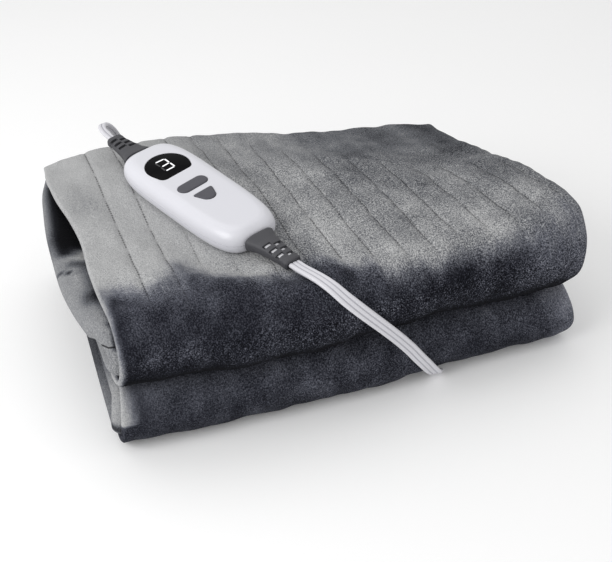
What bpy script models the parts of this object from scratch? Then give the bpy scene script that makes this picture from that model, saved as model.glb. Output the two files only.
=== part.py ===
"""Electric heated blanket, folded for storage, with its hand controller lying on top.

Axes: +X runs along the folded front, +Y away from it and +Z up. Lengths are in metres.
The cloth is one sheet. It is folded four deep across X, and that strip then runs to and
fro along Y in four passes, so the front shows two round folds and the back shows one.
The origin is the middle of the stack's footprint, on the surface that it lies on.
"""
import math

import bmesh
import bpy
import numpy as np
from mathutils import Matrix, Vector

GAP = 0.0003                      # between pieces that touch
STACK_MIDDLE = (-0.0024, -0.0090)  # footprint's middle, from the point the stack was set out at

# --- the folded cloth ---
CLOTH = 0.0055                    # plush cloth with its wadding and wires
PITCH_UPPER = 0.00765             # layer to layer in the two upper passes
PITCH_LOWER = 0.00645             # and in the two lower ones, which carry more weight
ROLL_UPPER_Y = -0.1120            # axis of the upper front fold
ROLL_LOWER_Y = -0.1110            # axis of the lower front fold
ROLL_BACK_Y = 0.1050              # axis of the back fold
END_TOP_Y = 0.1310                # free end of the top pass
END_BOTTOM_Y = 0.1280             # free end of the bottom pass
EDGE_RUN = 0.0022                 # rounding of a cut edge
EDGE_THIN = 0.5                   # part of the half thickness left at a cut edge
RIGHT_CREASE_DROP = 0.0120        # the lower fold is pressed thinner towards the right
LIP_DROP = 0.0045                 # the left loop hangs over the layers below it near the front
LINE_FIRST = -0.1500              # first row of stitches that holds a heating wire
LINE_PITCH = 0.0235
LINE_COUNT = 14
LINE_DEPTH = 0.0009

# --- the controller: its rest pose, and its own sizes with x along it and z up ---
PAD_CENTRE = (-0.0845, 0.0021, 0.1230)
PAD_HEADING = math.radians(-69.3)
PAD_PITCH = math.radians(4.7)     # the end nearer the front lies lower
PAD_ROLL = math.radians(6.5)      # the right side lies higher
PAD_LENGTH = 0.150
PAD_WIDTH = 0.058
PAD_HEIGHT = 0.020
PAD_TAPER = 0.03                  # the display end is the wider one
PAD_SQUARENESS = 4.1              # exponent of the outline's superellipse
PAD_SPLIT = 0.0088                # height of the joint between the two shells
PAD_SIDES = 44
WINDOW_DEPTH = 0.0016
ARC_FINENESS = 0.0012             # a larger arc of an outline gets more sides
BUTTON_TRAVEL = 0.0008
BUTTON_PROUD = 0.0010
BUTTON_DEPTH = 0.0030
BUTTON_SEAT = BUTTON_DEPTH + BUTTON_TRAVEL + 0.0005   # depth of the pocket a button sits in

# --- the strain reliefs and the leads ---
RELIEF_AXIS_Z = 0.0095
RELIEF_START = 0.0753
MAINS_WIDTH, MAINS_THICK = 0.0065, 0.0030
LEAD_WIDTH, LEAD_THICK = 0.0102, 0.0032
COIL_CENTRE = (0.0000, 0.1885)
COIL_INNER = 0.0260
COIL_OUTER = 0.0455
COIL_HEIGHT = 0.0096
PLUG_START = (0.0560, 0.2370)
PLUG_AXIS_Z = 0.0070
PIN_SPACING = 0.0190
PIN_RADIUS = 0.0020
PIN_LENGTH = 0.0190


# ---------------------------------------------------------------- helpers

def ease(value, low, high):
    """0 below low, 1 above high and a smooth step between."""
    t = np.clip((value - low) / (high - low), 0.0, 1.0)
    return t * t * (3.0 - 2.0 * t)


def bell(value, middle, width):
    """1 at the middle and falling off on both sides as a bell curve of that width."""
    return np.exp(-((value - middle) / width) ** 2)


def through(stations, values, at):
    """Smooth curve through values given at rising stations (Catmull-Rom, uneven spacing)."""
    s = np.asarray(stations, float)
    v = np.asarray(values, float)
    slope = np.gradient(v, s, axis=0)
    i = np.clip(np.searchsorted(s, at, side="right") - 1, 0, len(s) - 2)
    h = s[i + 1] - s[i]
    t = (at - s[i]) / h
    shape = t.shape + (1,) * (v.ndim - 1)
    t, h = t.reshape(shape), h.reshape(shape)
    return ((2 * t**3 - 3 * t**2 + 1) * v[i] + (t**3 - 2 * t**2 + t) * h * slope[i]
            + (3 * t**2 - 2 * t**3) * v[i + 1] + (t**3 - t**2) * h * slope[i + 1])


def settled(points):
    """Move points from the place the stack was set out at to the part's own frame."""
    return np.asarray(points, float) - (STACK_MIDDLE[0], STACK_MIDDLE[1], 0.0)


def material(name, colour, roughness, metallic=0.0):
    made = bpy.data.materials.new(name)
    made.use_nodes = True
    shader = made.node_tree.nodes["Principled BSDF"]
    shader.inputs["Base Color"].default_value = (*colour, 1.0)
    shader.inputs["Roughness"].default_value = roughness
    shader.inputs["Metallic"].default_value = metallic
    made.diffuse_color = (*colour, 1.0)
    return made


def solid(name, vertices, faces, finish, parent=None, sharp=40.0):
    """One named mesh object with outward faces."""
    mesh = bpy.data.meshes.new(name)
    mesh.from_pydata([tuple(v) for v in vertices], [], [tuple(f) for f in faces])
    body = bmesh.new()
    body.from_mesh(mesh)
    bmesh.ops.recalc_face_normals(body, faces=body.faces)
    body.to_mesh(mesh)
    body.free()
    mesh.shade_smooth()
    mesh.set_sharp_from_angle(angle=math.radians(sharp))
    thing = bpy.data.objects.new(name, mesh)
    thing.parent = parent
    if finish is not None:
        mesh.materials.append(finish)
    bpy.context.collection.objects.link(thing)
    return thing


def loft(rings):
    """Vertices and faces of a closed body through rings of equal point count."""
    count = len(rings[0])
    vertices = [point for ring in rings for point in ring]
    faces = []
    for level in range(len(rings) - 1):
        for i in range(count):
            a = level * count + i
            b = level * count + (i + 1) % count
            faces.append((a, b, b + count, a + count))
    faces.append(tuple(range(count))[::-1])
    faces.append(tuple(range((len(rings) - 1) * count, len(rings) * count)))
    return vertices, faces


def cut(target, cutter):
    """Subtract a cutter, which is only a guide, from a solid."""
    cutter.hide_render = True
    cutter.display_type = "WIRE"
    boolean = target.modifiers.new("cut_" + cutter.name, "BOOLEAN")
    boolean.operation = "DIFFERENCE"
    boolean.object = cutter


# ---------------------------------------------------------------- the controller's frame

def pad_axes():
    """The controller's own x, y and z directions as it lies on the stack."""
    heading = Vector((math.cos(PAD_HEADING), math.sin(PAD_HEADING), 0.0))
    along = heading * math.cos(PAD_PITCH) - Vector((0, 0, 1)) * math.sin(PAD_PITCH)
    level = Vector((-heading.y, heading.x, 0.0))
    across = level * math.cos(PAD_ROLL) + along.cross(level) * math.sin(PAD_ROLL)
    return along, across, along.cross(across)


def pad_origin():
    """Middle of the controller's underside."""
    return Vector(PAD_CENTRE) - pad_axes()[2] * (PAD_HEIGHT / 2)


# ---------------------------------------------------------------- the folded cloth

# Side positions of the cloth in millimetres, at places along the folded strip. A place
# counts the stretches: 0 to 1 top pass, 1 to 2 upper front fold, 2 to 3 second pass,
# 3 to 4 back fold, 4 to 5 third pass, 5 to 6 lower front fold, 6 to 7 bottom pass.
SIDES = {
    "place": (0.00, 0.12, 0.28, 0.46, 0.60, 0.78, 0.90, 1.00, 1.25, 1.50, 1.75, 2.00,
              2.50, 3.00, 4.00, 4.50, 5.00, 5.50, 6.00, 6.50, 7.00),
    "hem": (-185, -187, -187, -182, -180, -182, -182, -181, -180, -180, -181, -182,
            -180, -177, -176, -176, -178, -183, -183, -179, -176),
    "loop": (-182, -189, -194, -198, -199, -199, -196, -192, -185, -182, -182, -183,
             -182, -178, -176, -178, -181, -185, -184, -180, -176),
    "inner_hem": (-176, -176, -175, -174, -174, -173, -173, -174, -176, -177, -177, -176,
                  -175, -173, -171, -170, -175, -178, -176, -171, -171),
    "outer_turn": (183, 184, 186, 188, 190, 190, 189, 188, 188, 188, 189, 191,
                   193, 194, 194, 191, 188, 187, 186, 187, 188),
    "inner_turn": (180, 181, 183, 185, 187, 187, 186, 185, 185, 185, 186, 188,
                   190, 191, 191, 188, 185, 184, 183, 184, 185),
}

Z_BOTTOM = 2 * PITCH_LOWER
Z_THIRD = 6 * PITCH_LOWER
Z_SECOND = 8 * PITCH_LOWER + 2 * PITCH_UPPER
Z_TOP = 8 * PITCH_LOWER + 6 * PITCH_UPPER
Z_DROP = 0.5 * PITCH_LOWER - CLOTH / 2
TOP_FACE = Z_TOP + 1.5 * PITCH_UPPER + CLOTH / 2 - Z_DROP


def strip_line(place):
    """Middle line of the strip, as y, z and its outward direction, at places 0 to 7."""
    stretch = np.clip(place.astype(int), 0, 6)
    f = place - stretch
    turn = np.pi * (0.5 + f)
    back = np.pi * (0.5 - f)
    back_radius = (Z_SECOND - Z_THIRD) / 2
    y = np.choose(stretch, [
        END_TOP_Y + (ROLL_UPPER_Y - END_TOP_Y) * f,
        ROLL_UPPER_Y + 2 * PITCH_UPPER * np.cos(turn),
        ROLL_UPPER_Y + (ROLL_BACK_Y - ROLL_UPPER_Y) * f,
        ROLL_BACK_Y + back_radius * np.cos(back),
        ROLL_BACK_Y + (ROLL_LOWER_Y - ROLL_BACK_Y) * f,
        ROLL_LOWER_Y + 2 * PITCH_LOWER * np.cos(turn),
        ROLL_LOWER_Y + (END_BOTTOM_Y - ROLL_LOWER_Y) * f])
    z = np.choose(stretch, [
        Z_TOP + 0 * f,
        (Z_TOP + Z_SECOND) / 2 + 2 * PITCH_UPPER * np.sin(turn),
        Z_SECOND + 0 * f,
        (Z_SECOND + Z_THIRD) / 2 + back_radius * np.sin(back),
        Z_THIRD + 0 * f,
        (Z_THIRD + Z_BOTTOM) / 2 + 2 * PITCH_LOWER * np.sin(turn),
        Z_BOTTOM + 0 * f])
    flat, zero = np.ones_like(f), np.zeros_like(f)
    out_y = np.choose(stretch, [zero, np.cos(turn), zero, -np.cos(back), zero, np.cos(turn), zero])
    out_z = np.choose(stretch, [flat, np.sin(turn), -flat, -np.sin(back), flat, np.sin(turn), -flat])
    return y, z - Z_DROP, out_y, out_z


def strip_places():
    """Places of the mesh's cross rows, closer together round each fold."""
    counts = (10, 8, 2, 6, 2, 7, 4)
    rows = [k + i / n for k, n in enumerate(counts) for i in range(n)] + [7.0]
    return np.array(rows)


def cloth_columns():
    """Each column across the cloth: kind, part of the way along it, fixed x or None."""
    columns = [("hem", 0.0, None), ("hem", EDGE_RUN, None)]
    for i in range(LINE_COUNT):
        line = LINE_FIRST + i * LINE_PITCH
        if i:
            columns.append(("crown", 0.0, line - LINE_PITCH / 2))
        columns.append(("line", 0.0, line))
    columns.append(("crown", 0.0, line + LINE_PITCH / 2))
    columns += [("turn_a", t, None) for t in (0.0, 0.25, 0.5, 0.75, 1.0)]
    columns += [("ply_b", t, None) for t in (0.45, 0.72, 0.86, 0.94)]
    columns += [("loop", t, None) for t in (0.0, 0.25, 0.5, 0.75, 1.0)]
    columns += [("ply_c", t, None) for t in (0.06, 0.14, 0.28, 0.55)]
    columns += [("turn_c", t, None) for t in (0.0, 0.25, 0.5, 0.75, 1.0)]
    columns += [("ply_d", t, None) for t in (0.45, 0.75, 0.9)]
    columns += [("inner_hem", EDGE_RUN, None), ("inner_hem", 0.0, None)]
    return columns


def column_shape(kind, t, fixed, place, pitch):
    """x, layer offset (in pitches) and face direction of one column at all places."""
    side = {key: through(SIDES["place"], SIDES[key], place) / 1000 for key in SIDES if key != "place"}
    half = pitch / 2
    a_x = side["outer_turn"] - half
    c_x = side["inner_turn"] - half
    l_x = side["loop"] + 1.5 * half
    ones = np.ones_like(place)
    if kind == "hem":
        return side["hem"] + t, 1.5 * ones, 0 * ones, ones
    if kind in ("line", "crown"):
        return fixed * ones, 1.5 * ones, 0 * ones, ones
    if kind == "ply_b":
        return a_x + (l_x - a_x) * t, 0.5 * ones, 0 * ones, -ones
    if kind == "ply_c":
        return l_x + (c_x - l_x) * t, -0.5 * ones, 0 * ones, ones
    if kind == "ply_d":
        return c_x + (side["inner_hem"] - c_x) * t, -1.5 * ones, 0 * ones, -ones
    if kind == "inner_hem":
        return side["inner_hem"] + t, -1.5 * ones, 0 * ones, -ones
    angle = math.pi * (0.5 - t)
    bend, rise = math.cos(angle), math.sin(angle)
    if kind == "turn_a":
        return a_x + half * bend, (1.0 + 0.5 * rise) * ones, bend * ones, rise * ones
    if kind == "turn_c":
        return c_x + half * bend, (-1.0 + 0.5 * rise) * ones, bend * ones, rise * ones
    return l_x - 1.5 * half * bend, 0.5 * rise * ones, bend * ones, -rise * ones


def press(x, y):
    """What lies on the cloth: height of its underside and how firmly it holds the cloth there."""
    along, across, up = pad_axes()
    base = pad_origin()
    plane = base.z - ((x - base.x) * up.x + (y - base.y) * up.y) / up.z
    dx, dy = x - base.x, y - base.y
    own_x = dx * along.x + dy * along.y + (plane - base.z) * along.z
    own_y = dx * across.x + dy * across.y + (plane - base.z) * across.z
    corner = 0.015
    out_x = np.maximum(np.abs(own_x) - PAD_LENGTH / 2 + corner, 0.0)
    out_y = np.maximum(np.abs(own_y) - PAD_WIDTH / 2 + corner, 0.0)
    away = np.hypot(out_x, out_y) - corner
    hold = 1.0 - ease(away, 0.006, 0.042)
    relief = np.hypot(np.maximum(np.abs(own_x) - 0.112, 0.0), own_y)
    relief_hold = (1.0 - ease(relief, 0.012, 0.030)) * (np.abs(own_x) > 0.06)
    relief_under = plane + 0.0048 * ease(np.abs(own_x), 0.074, 0.092) - 2 * GAP
    return plane - GAP, hold, relief_under, relief_hold


def bowed(points):
    """Front line of the stack: fuller left of the middle, drawn back at the right corner."""
    x, y, z = points.T
    front = 1.0 - ease(y, -0.08, 0.05)
    back = ease(y, 0.0, 0.11)
    bow = -0.009 * bell(x, -0.06, 0.07) + 0.006 * ease(x, 0.0, 0.12)
    bow *= 0.45 + 0.55 * ease(z, 0.02, 0.06)
    bow -= 0.003 * bell(x, 0.015, 0.035) * (1.0 - ease(z, 0.02, 0.05))
    near = np.clip((x - 0.146) / 0.070, 0.0, 0.995)
    far = np.clip((x - 0.138) / 0.075, 0.0, 0.98)
    left = np.clip((-0.150 - x) / 0.055, 0.0, 0.98)
    corner = (0.019 + 0.013 * ease(z, 0.03, 0.06)) * (1 - np.sqrt(1 - near**2))
    corner += 0.009 * (1 - np.sqrt(1 - left**2))
    moved = points.copy()
    moved[:, 1] += bow * (1.0 - ease(y, -0.06, 0.08)) + corner * front
    moved[:, 1] -= 0.026 * (1 - np.sqrt(1 - far**2)) * back
    return moved


def sloped(points):
    """Height of the stack: lower at the back right, a little fuller at the other corners."""
    x, y, z = points.T
    rise = (-0.19 * ease(x, -0.02, 0.20) * ease(y, -0.05, 0.13)
            + 0.100 * ease(x, 0.09, 0.19) * (1.0 - ease(y, -0.115, 0.035))
            - 0.054 * bell(x, 0.05, 0.09) * ease(y, 0.03, 0.12)
            - 0.008 * bell(x, 0.145, 0.03) * ease(y, 0.02, 0.10)
            + 0.035 * (1.0 - ease(x, -0.10, 0.05)) * ease(y, 0.02, 0.12)
            - 0.075 * (1.0 - ease(x, -0.185, -0.145)) * ease(y, 0.06, 0.13))
    uneven = 0.009 * np.sin(31 * x + 0.6) * np.sin(27 * y + 1.1)
    crease = 8 * PITCH_LOWER
    lower_part = np.minimum(z / crease, (TOP_FACE - z) / (TOP_FACE - crease))
    moved = points.copy()
    moved[:, 2] *= 1.0 + rise + uneven * ease(z, 0.03, 0.11)
    moved[:, 2] -= RIGHT_CREASE_DROP * ease(x, 0.03, 0.20) * np.maximum(lower_part, 0.0)
    return moved


def slumped(points, lower_layers):
    """At the left side the layers under the top one sag away from it, behind their own rim."""
    x, y, z = points.T
    depth = 0.0095 * bell(x, -0.168, 0.017)
    depth *= ease(y, -0.060, -0.010) * (1.0 - ease(y, 0.085, 0.125))
    lip = LIP_DROP * (1.0 - ease(x, -0.200, -0.182)) * (1.0 - ease(y, -0.060, 0.030))
    moved = points.copy()
    moved[:, 2] -= depth * lower_layers * ease(z, 0.04, 0.104)
    moved[:, 2] -= lip * lower_layers * ease(z, 0.045, 0.085)
    return moved


def imprinted(points):
    """The top of the stack takes the slope of the controller and gives under its reliefs."""
    x, y, z = points.T
    plane, hold, under, under_hold = press(x, y)
    face = settled_top(x, y)
    weight = ease(z, 0.045, 0.108)
    moved = points.copy()
    shift = (plane - face) * hold
    extra = np.minimum(under - (face + shift), 0.0) * under_hold
    moved[:, 2] += (shift + extra) * weight
    return moved


def settled_top(x, y):
    """Height of the stack's top face at x, y before anything lies on it."""
    probe = np.stack([x, y, np.full_like(x, TOP_FACE)], axis=1)
    return sloped(probe)[:, 2]


def cloth_surface():
    """Both faces of the cloth: arrays of rows along the strip by columns across it."""
    place = strip_places()
    y, z, out_y, out_z = strip_line(place)
    pitch = PITCH_UPPER + (PITCH_LOWER - PITCH_UPPER) * ease(place, 2.7, 4.3)
    stitched = 1.0 - ease(place, 1.9, 2.2) + ease(place, 4.9, 5.1) - ease(place, 5.6, 6.0)
    cut_end = np.where((place == 0.0) | (place == 7.0), EDGE_THIN, 1.0)
    faces = []
    for side in (1.0, -1.0):
        sheet = []
        for kind, t, fixed in cloth_columns():
            x, layer, face_x, face_n = column_shape(kind, t, fixed, place, pitch)
            half = CLOTH / 2 * cut_end
            if kind in ("hem", "inner_hem") and t == 0.0:
                half = half * EDGE_THIN
            if kind == "line":
                half = half - LINE_DEPTH * stitched
            reach = layer * pitch + side * half * face_n
            column = np.stack([x + side * half * face_x, y + reach * out_y, z + reach * out_z], axis=1)
            below = 0.0 if kind in ("hem", "line", "crown") else 1.0
            shaped = imprinted(sloped(slumped(bowed(column), below)))
            shaped[:, 2] = np.maximum(shaped[:, 2], 0.0)
            sheet.append(settled(shaped))
        faces.append(np.array(sheet).transpose(1, 0, 2))
    return faces


def make_blanket(finish):
    """One closed sheet: its two faces, joined along the four cut edges."""
    outer, inner = cloth_surface()
    rows, cols = outer.shape[:2]
    vertices = np.concatenate([outer.reshape(-1, 3), inner.reshape(-1, 3)])
    index = np.arange(rows * cols).reshape(rows, cols)
    far = index + rows * cols
    faces = []
    for r in range(rows - 1):
        for c in range(cols - 1):
            quad = (index[r, c], index[r, c + 1], index[r + 1, c + 1], index[r + 1, c])
            faces.append(quad)
            faces.append(tuple(i + rows * cols for i in quad[::-1]))
    for r in range(rows - 1):
        for c in (0, cols - 1):
            faces.append((index[r, c], index[r + 1, c], far[r + 1, c], far[r, c]))
    for c in range(cols - 1):
        for r in (0, rows - 1):
            faces.append((index[r, c], index[r, c + 1], far[r, c + 1], far[r, c]))
    return solid("blanket", vertices, faces, finish, sharp=60.0)


# ---------------------------------------------------------------- the controller

def pad_outline(inset, z):
    """A superellipse ring of the controller, drawn in by inset, at height z."""
    a = PAD_LENGTH / 2 - inset
    b = PAD_WIDTH / 2 - inset
    ring = []
    for i in range(PAD_SIDES):
        angle = 2 * math.pi * (i + 0.5) / PAD_SIDES
        c, s = math.cos(angle), math.sin(angle)
        x = a * math.copysign(abs(c) ** (2 / PAD_SQUARENESS), c)
        y = b * math.copysign(abs(s) ** (2 / PAD_SQUARENESS), s)
        ring.append((x, y * (1 - PAD_TAPER * x / (PAD_LENGTH / 2)), z))
    return ring


def hull_outline(circles, inset=0.0):
    """Outline round a convex row of circles (x, y, radius), drawn in by inset, counter-clockwise."""
    ring = []
    count = len(circles)
    for i, (x, y, radius) in enumerate(circles):
        start = tangent_angle(circles[i - 1], circles[i])
        end = tangent_angle(circles[i], circles[(i + 1) % count])
        while end < start:
            end += 2 * math.pi
        steps = 3 + int((end - start) * math.sqrt(radius / ARC_FINENESS))
        for k in range(steps):
            angle = start + (end - start) * k / (steps - 1)
            ring.append((x + (radius - inset) * math.cos(angle), y + (radius - inset) * math.sin(angle)))
    return ring


def tangent_angle(first, second):
    """Direction of the outer normal of the line that touches two circles."""
    dx, dy = second[0] - first[0], second[1] - first[1]
    distance = math.hypot(dx, dy)
    lean = math.acos((first[2] - second[2]) / distance)
    return math.atan2(dy, dx) - lean


def slab(name, circles, levels, finish, parent):
    """A plate with the outline of a row of circles, through levels of (inset, z)."""
    rings = [[(x, y, z) for x, y in hull_outline(circles, inset)] for inset, z in levels]
    return solid(name, *loft(rings), finish, parent)


# Outlines on the controller's face, each the hull of circles given as x, y and radius.
WINDOW = ((-0.0352, -0.0014, 0.0181), (-0.0254, -0.0124, 0.0050), (-0.0270, 0.0094, 0.0050))
PILL = ((-0.0004, -0.0104, 0.0055), (-0.0016, 0.0056, 0.0055))
ARROW = ((0.0178, -0.0021, 0.0062), (0.0118, 0.0050, 0.0014), (0.0127, -0.0096, 0.0014))


def make_controller(shell, cover_finish, glass, rubber, parent):
    base_levels = ((0.0060, 0.0), (0.0030, 0.0008), (0.0011, 0.0028), (0.0002, 0.0056), (0.0, PAD_SPLIT))
    cover_levels = ((0.0, PAD_SPLIT + GAP), (0.0005, 0.0118), (0.0015, 0.0143), (0.0032, 0.0166),
                    (0.0058, 0.0186), (0.0082, 0.0195), (0.0108, PAD_HEIGHT))
    solid("controller_base", *loft([pad_outline(i, z) for i, z in base_levels]), shell, parent)
    cover = solid("controller_cover", *loft([pad_outline(i, z) for i, z in cover_levels]),
                  cover_finish, parent)
    above = PAD_HEIGHT + 0.002
    window_floor = PAD_HEIGHT - WINDOW_DEPTH
    seat = PAD_HEIGHT - BUTTON_SEAT
    for name, circles, floor in (("window_pocket", WINDOW, window_floor), ("pill_pocket", PILL, seat),
                                 ("arrow_pocket", ARROW, seat)):
        cut(cover, slab(name, circles, ((-GAP, floor), (-GAP, above)), None, parent))
    slab("display_window", WINDOW,
         ((0.0, window_floor + GAP), (0.0, PAD_HEIGHT - 0.0001), (0.0004, PAD_HEIGHT + 0.0001)), glass, parent)
    for name, circles in (("pill_button", PILL), ("arrow_button", ARROW)):
        bottom = PAD_HEIGHT - BUTTON_DEPTH
        top = PAD_HEIGHT + BUTTON_PROUD
        slab(name, circles, ((0.0, bottom), (0.0, top - 0.0007), (0.0003, top - 0.0002), (0.0009, top)),
             rubber, parent)


# Strain relief: distance from its root, half width and half height, in millimetres.
RELIEF_SECTIONS = ((0.0, 12.6, 6.0), (1.2, 13.0, 6.2), (3.5, 12.2, 5.8), (8.0, 10.2, 5.1), (16.0, 8.6, 4.6),
                   (27.0, 7.3, 4.2), (31.5, 6.9, 4.0), (32.3, 7.3, 4.3), (35.6, 7.2, 4.2), (36.6, 6.4, 3.6))
SLOT_ROWS = ((0.0036, (0.0168, 0.0234, 0.0300)), (-0.0036, (0.0140, 0.0206, 0.0272)))
SLOT_SIZE = (0.0028, 0.0060, 0.0030)


def relief_ring(x, half_width, half_height, sides=20):
    """A rounded rectangle across the relief."""
    ring = []
    for i in range(sides):
        angle = 2 * math.pi * (i + 0.5) / sides
        c, s = math.cos(angle), math.sin(angle)
        y = half_width * math.copysign(abs(c) ** 0.62, c)
        z = half_height * math.copysign(abs(s) ** 0.62, s)
        ring.append((x, y, z))
    return ring


def make_relief(name, end, y, length, finish, parent):
    """A slotted strain relief at one end of the controller: end is 1 or -1 along x."""
    turn = 0.0 if end > 0 else math.pi
    place = Matrix.Translation((end * RELIEF_START, y, RELIEF_AXIS_Z)) @ Matrix.Rotation(turn, 4, "Z")
    stretch = length / (RELIEF_SECTIONS[-1][0] / 1000)
    rings = [relief_ring(d / 1000 * stretch, w / 1000, h / 1000) for d, w, h in RELIEF_SECTIONS]
    body = solid(name, *loft(rings), finish, parent)
    body.matrix_local = place
    for side in (1, -1):
        for row, (across, starts) in enumerate(SLOT_ROWS):
            for number, start in enumerate(starts):
                half_height = float(np.interp(start, [d / 1000 for d, _, _ in RELIEF_SECTIONS],
                                              [h / 1000 for _, _, h in RELIEF_SECTIONS]))
                slot = box(f"{name}_slot_{row}{number}{'ab'[side < 0]}", SLOT_SIZE, parent)
                slot.matrix_local = place @ Matrix.Translation(
                    (start * stretch, across, side * (half_height - SLOT_SIZE[2] / 2 + 0.0016)))
                cut(body, slot)
    return body


def box(name, size, parent):
    x, y, z = (s / 2 for s in size)
    corners = [(-x, -y, -z), (x, -y, -z), (x, y, -z), (-x, y, -z)]
    return solid(name, *loft([corners, [(a, b, z) for a, b, _ in corners]]), None, parent)


# ---------------------------------------------------------------- leads, coil and plug

# Routes in millimetres from the point the stack was set out at. The last column is the way
# the flat side faces, in degrees from straight up towards the front.
MAINS_ROUTE = (
    (-126.9, 105.9, 131.3, 0), (-129.6, 111.0, 132.6, -4), (-132.0, 117.0, 134.2, -10),
    (-132.8, 124.0, 135.4, -22), (-131.0, 131.4, 134.6, -40), (-127.4, 138.6, 131.4, -60),
    (-122.8, 144.8, 125.8, -76), (-118.2, 149.4, 118.2, -88), (-114.2, 152.0, 108.5, -92),
    (-110.8, 153.4, 98.5, -93), (-108.0, 153.6, 84.0, -93), (-105.2, 153.8, 68.0, -92),
    (-102.2, 154.6, 52.0, -88), (-98.4, 156.8, 37.0, -80), (-93.6, 160.6, 24.0, -66),
    (-87.4, 165.8, 13.6, -44), (-79.6, 171.2, 6.8, -20), (-70.8, 175.6, 3.3, -4),
    (-62.4, 178.6, 2.0, 0), (-55.4, 181.6, 1.8, 0), (-50.4, 185.4, 1.8, 0), (-48.7, 190.6, 1.8, 0))
TAIL_ROUTE = ((18.3, 233.3, 6.6, 0), (26.0, 235.2, 6.6, 0), (34.0, 236.4, 6.8, 0), (42.0, 236.9, 7.0, 0))
LEAD_ROUTE = (
    (-44.6, -105.4, 113.0, 3), (-41.6, -113.4, 112.6, 6), (-37.4, -122.5, 112.4, 12),
    (-33.2, -131.0, 111.6, 22), (-28.0, -138.6, 108.4, 38), (-22.4, -144.0, 103.0, 54),
    (-15.8, -147.4, 96.6, 70), (-8.4, -149.0, 89.2, 82), (-0.2, -149.1, 80.8, 90),
    (8.2, -148.0, 71.8, 95), (16.6, -146.0, 62.4, 96), (25.0, -143.7, 52.6, 94),
    (33.2, -142.0, 42.6, 92), (41.0, -140.6, 32.2, 94), (48.8, -139.4, 22.2, 100),
    (55.6, -137.0, 13.4, 118), (60.8, -133.5, 7.2, 142), (64.6, -128.6, 3.4, 162),
    (66.9, -125.6, 1.9, 172))


def route_line(route, step):
    """Points every step along the smooth curve through a route, and the facing at each."""
    table = np.array(route, float)
    table[:, :3] /= 1000
    knots = np.concatenate([[0.0], np.cumsum(np.linalg.norm(np.diff(table[:, :3], axis=0), axis=1))])
    count = max(3, int(round(knots[-1] / step)) + 1)
    line = through(knots, table, np.linspace(0.0, knots[-1], count))
    return line[:, :3], np.radians(line[:, 3])


def ribbon_tilts(points, facing):
    """Tilt at each point that turns a curve's minimum-twist frame to face the given way."""
    heading = np.gradient(points, axis=0)
    heading /= np.linalg.norm(heading, axis=1, keepdims=True)
    carried = np.array((0.0, 0.0, 1.0))
    tilts = []
    for direction, angle in zip(heading, facing):
        carried = carried - direction * np.dot(carried, direction)
        carried /= np.linalg.norm(carried)
        face = np.array((0.0, -math.sin(angle), math.cos(angle)))
        wide = np.cross(face, direction)
        wide /= np.linalg.norm(wide)
        turn = math.atan2(np.dot(np.cross(carried, wide), direction), np.dot(carried, wide))
        if tilts:
            turn += 2 * math.pi * round((tilts[-1] - turn) / (2 * math.pi))
        tilts.append(turn)
    return tilts


def make_flat_cord(name, route, width, thick, step, finish):
    """A flat lead: a poly curve, extruded sideways and rounded by its bevel."""
    points, facing = route_line(route, step)
    curve = bpy.data.curves.new(name, "CURVE")
    curve.dimensions = "3D"
    curve.twist_mode = "MINIMUM"
    curve.extrude = (width - thick) / 2
    curve.bevel_depth = thick / 2
    curve.bevel_resolution = 2
    curve.use_fill_caps = True
    spline = curve.splines.new("POLY")
    spline.points.add(len(points) - 1)
    for point, place, tilt in zip(spline.points, settled(points), ribbon_tilts(points, facing)):
        point.co = (*place, 1.0)
        point.tilt = tilt
    curve.materials.append(finish)
    thing = bpy.data.objects.new(name, curve)
    bpy.context.collection.objects.link(thing)
    return thing


def make_coil(finish, sides=32):
    """The wound length of the mains lead, as a turned ring with rounded edges."""
    middle = (COIL_INNER + COIL_OUTER) / 2
    half = (COIL_OUTER - COIL_INNER) / 2
    profile = []
    for i in range(12):
        angle = 2 * math.pi * (i + 0.5) / 12
        c, s = math.cos(angle), math.sin(angle)
        profile.append((middle + half * math.copysign(abs(c) ** 0.45, c),
                        COIL_HEIGHT / 2 * (1 + math.copysign(abs(s) ** 0.45, s))))
    low = min(z for _, z in profile)
    vertices = []
    for k in range(sides):
        angle = 2 * math.pi * k / sides
        for radius, z in profile:
            vertices.append((COIL_CENTRE[0] + radius * math.cos(angle),
                             COIL_CENTRE[1] + radius * math.sin(angle), z - low))
    count = len(profile)
    faces = []
    for k in range(sides):
        for i in range(count):
            a, b = k * count + i, k * count + (i + 1) % count
            c, d = (k + 1) % sides * count + (i + 1) % count, (k + 1) % sides * count + i
            faces.append((a, b, c, d))
    return solid("mains_coil", settled(vertices), faces, finish)


# Plug: distance from the cord's end, half width and half height, in millimetres.
PLUG_SECTIONS = ((-13.0, 3.9, 2.6), (-9.0, 4.6, 3.2), (-2.0, 5.8, 4.2), (1.0, 9.4, 5.6), (6.0, 12.4, 6.7),
                 (14.0, 13.0, 6.9), (22.0, 13.0, 6.9), (23.0, 12.3, 6.2))


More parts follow.
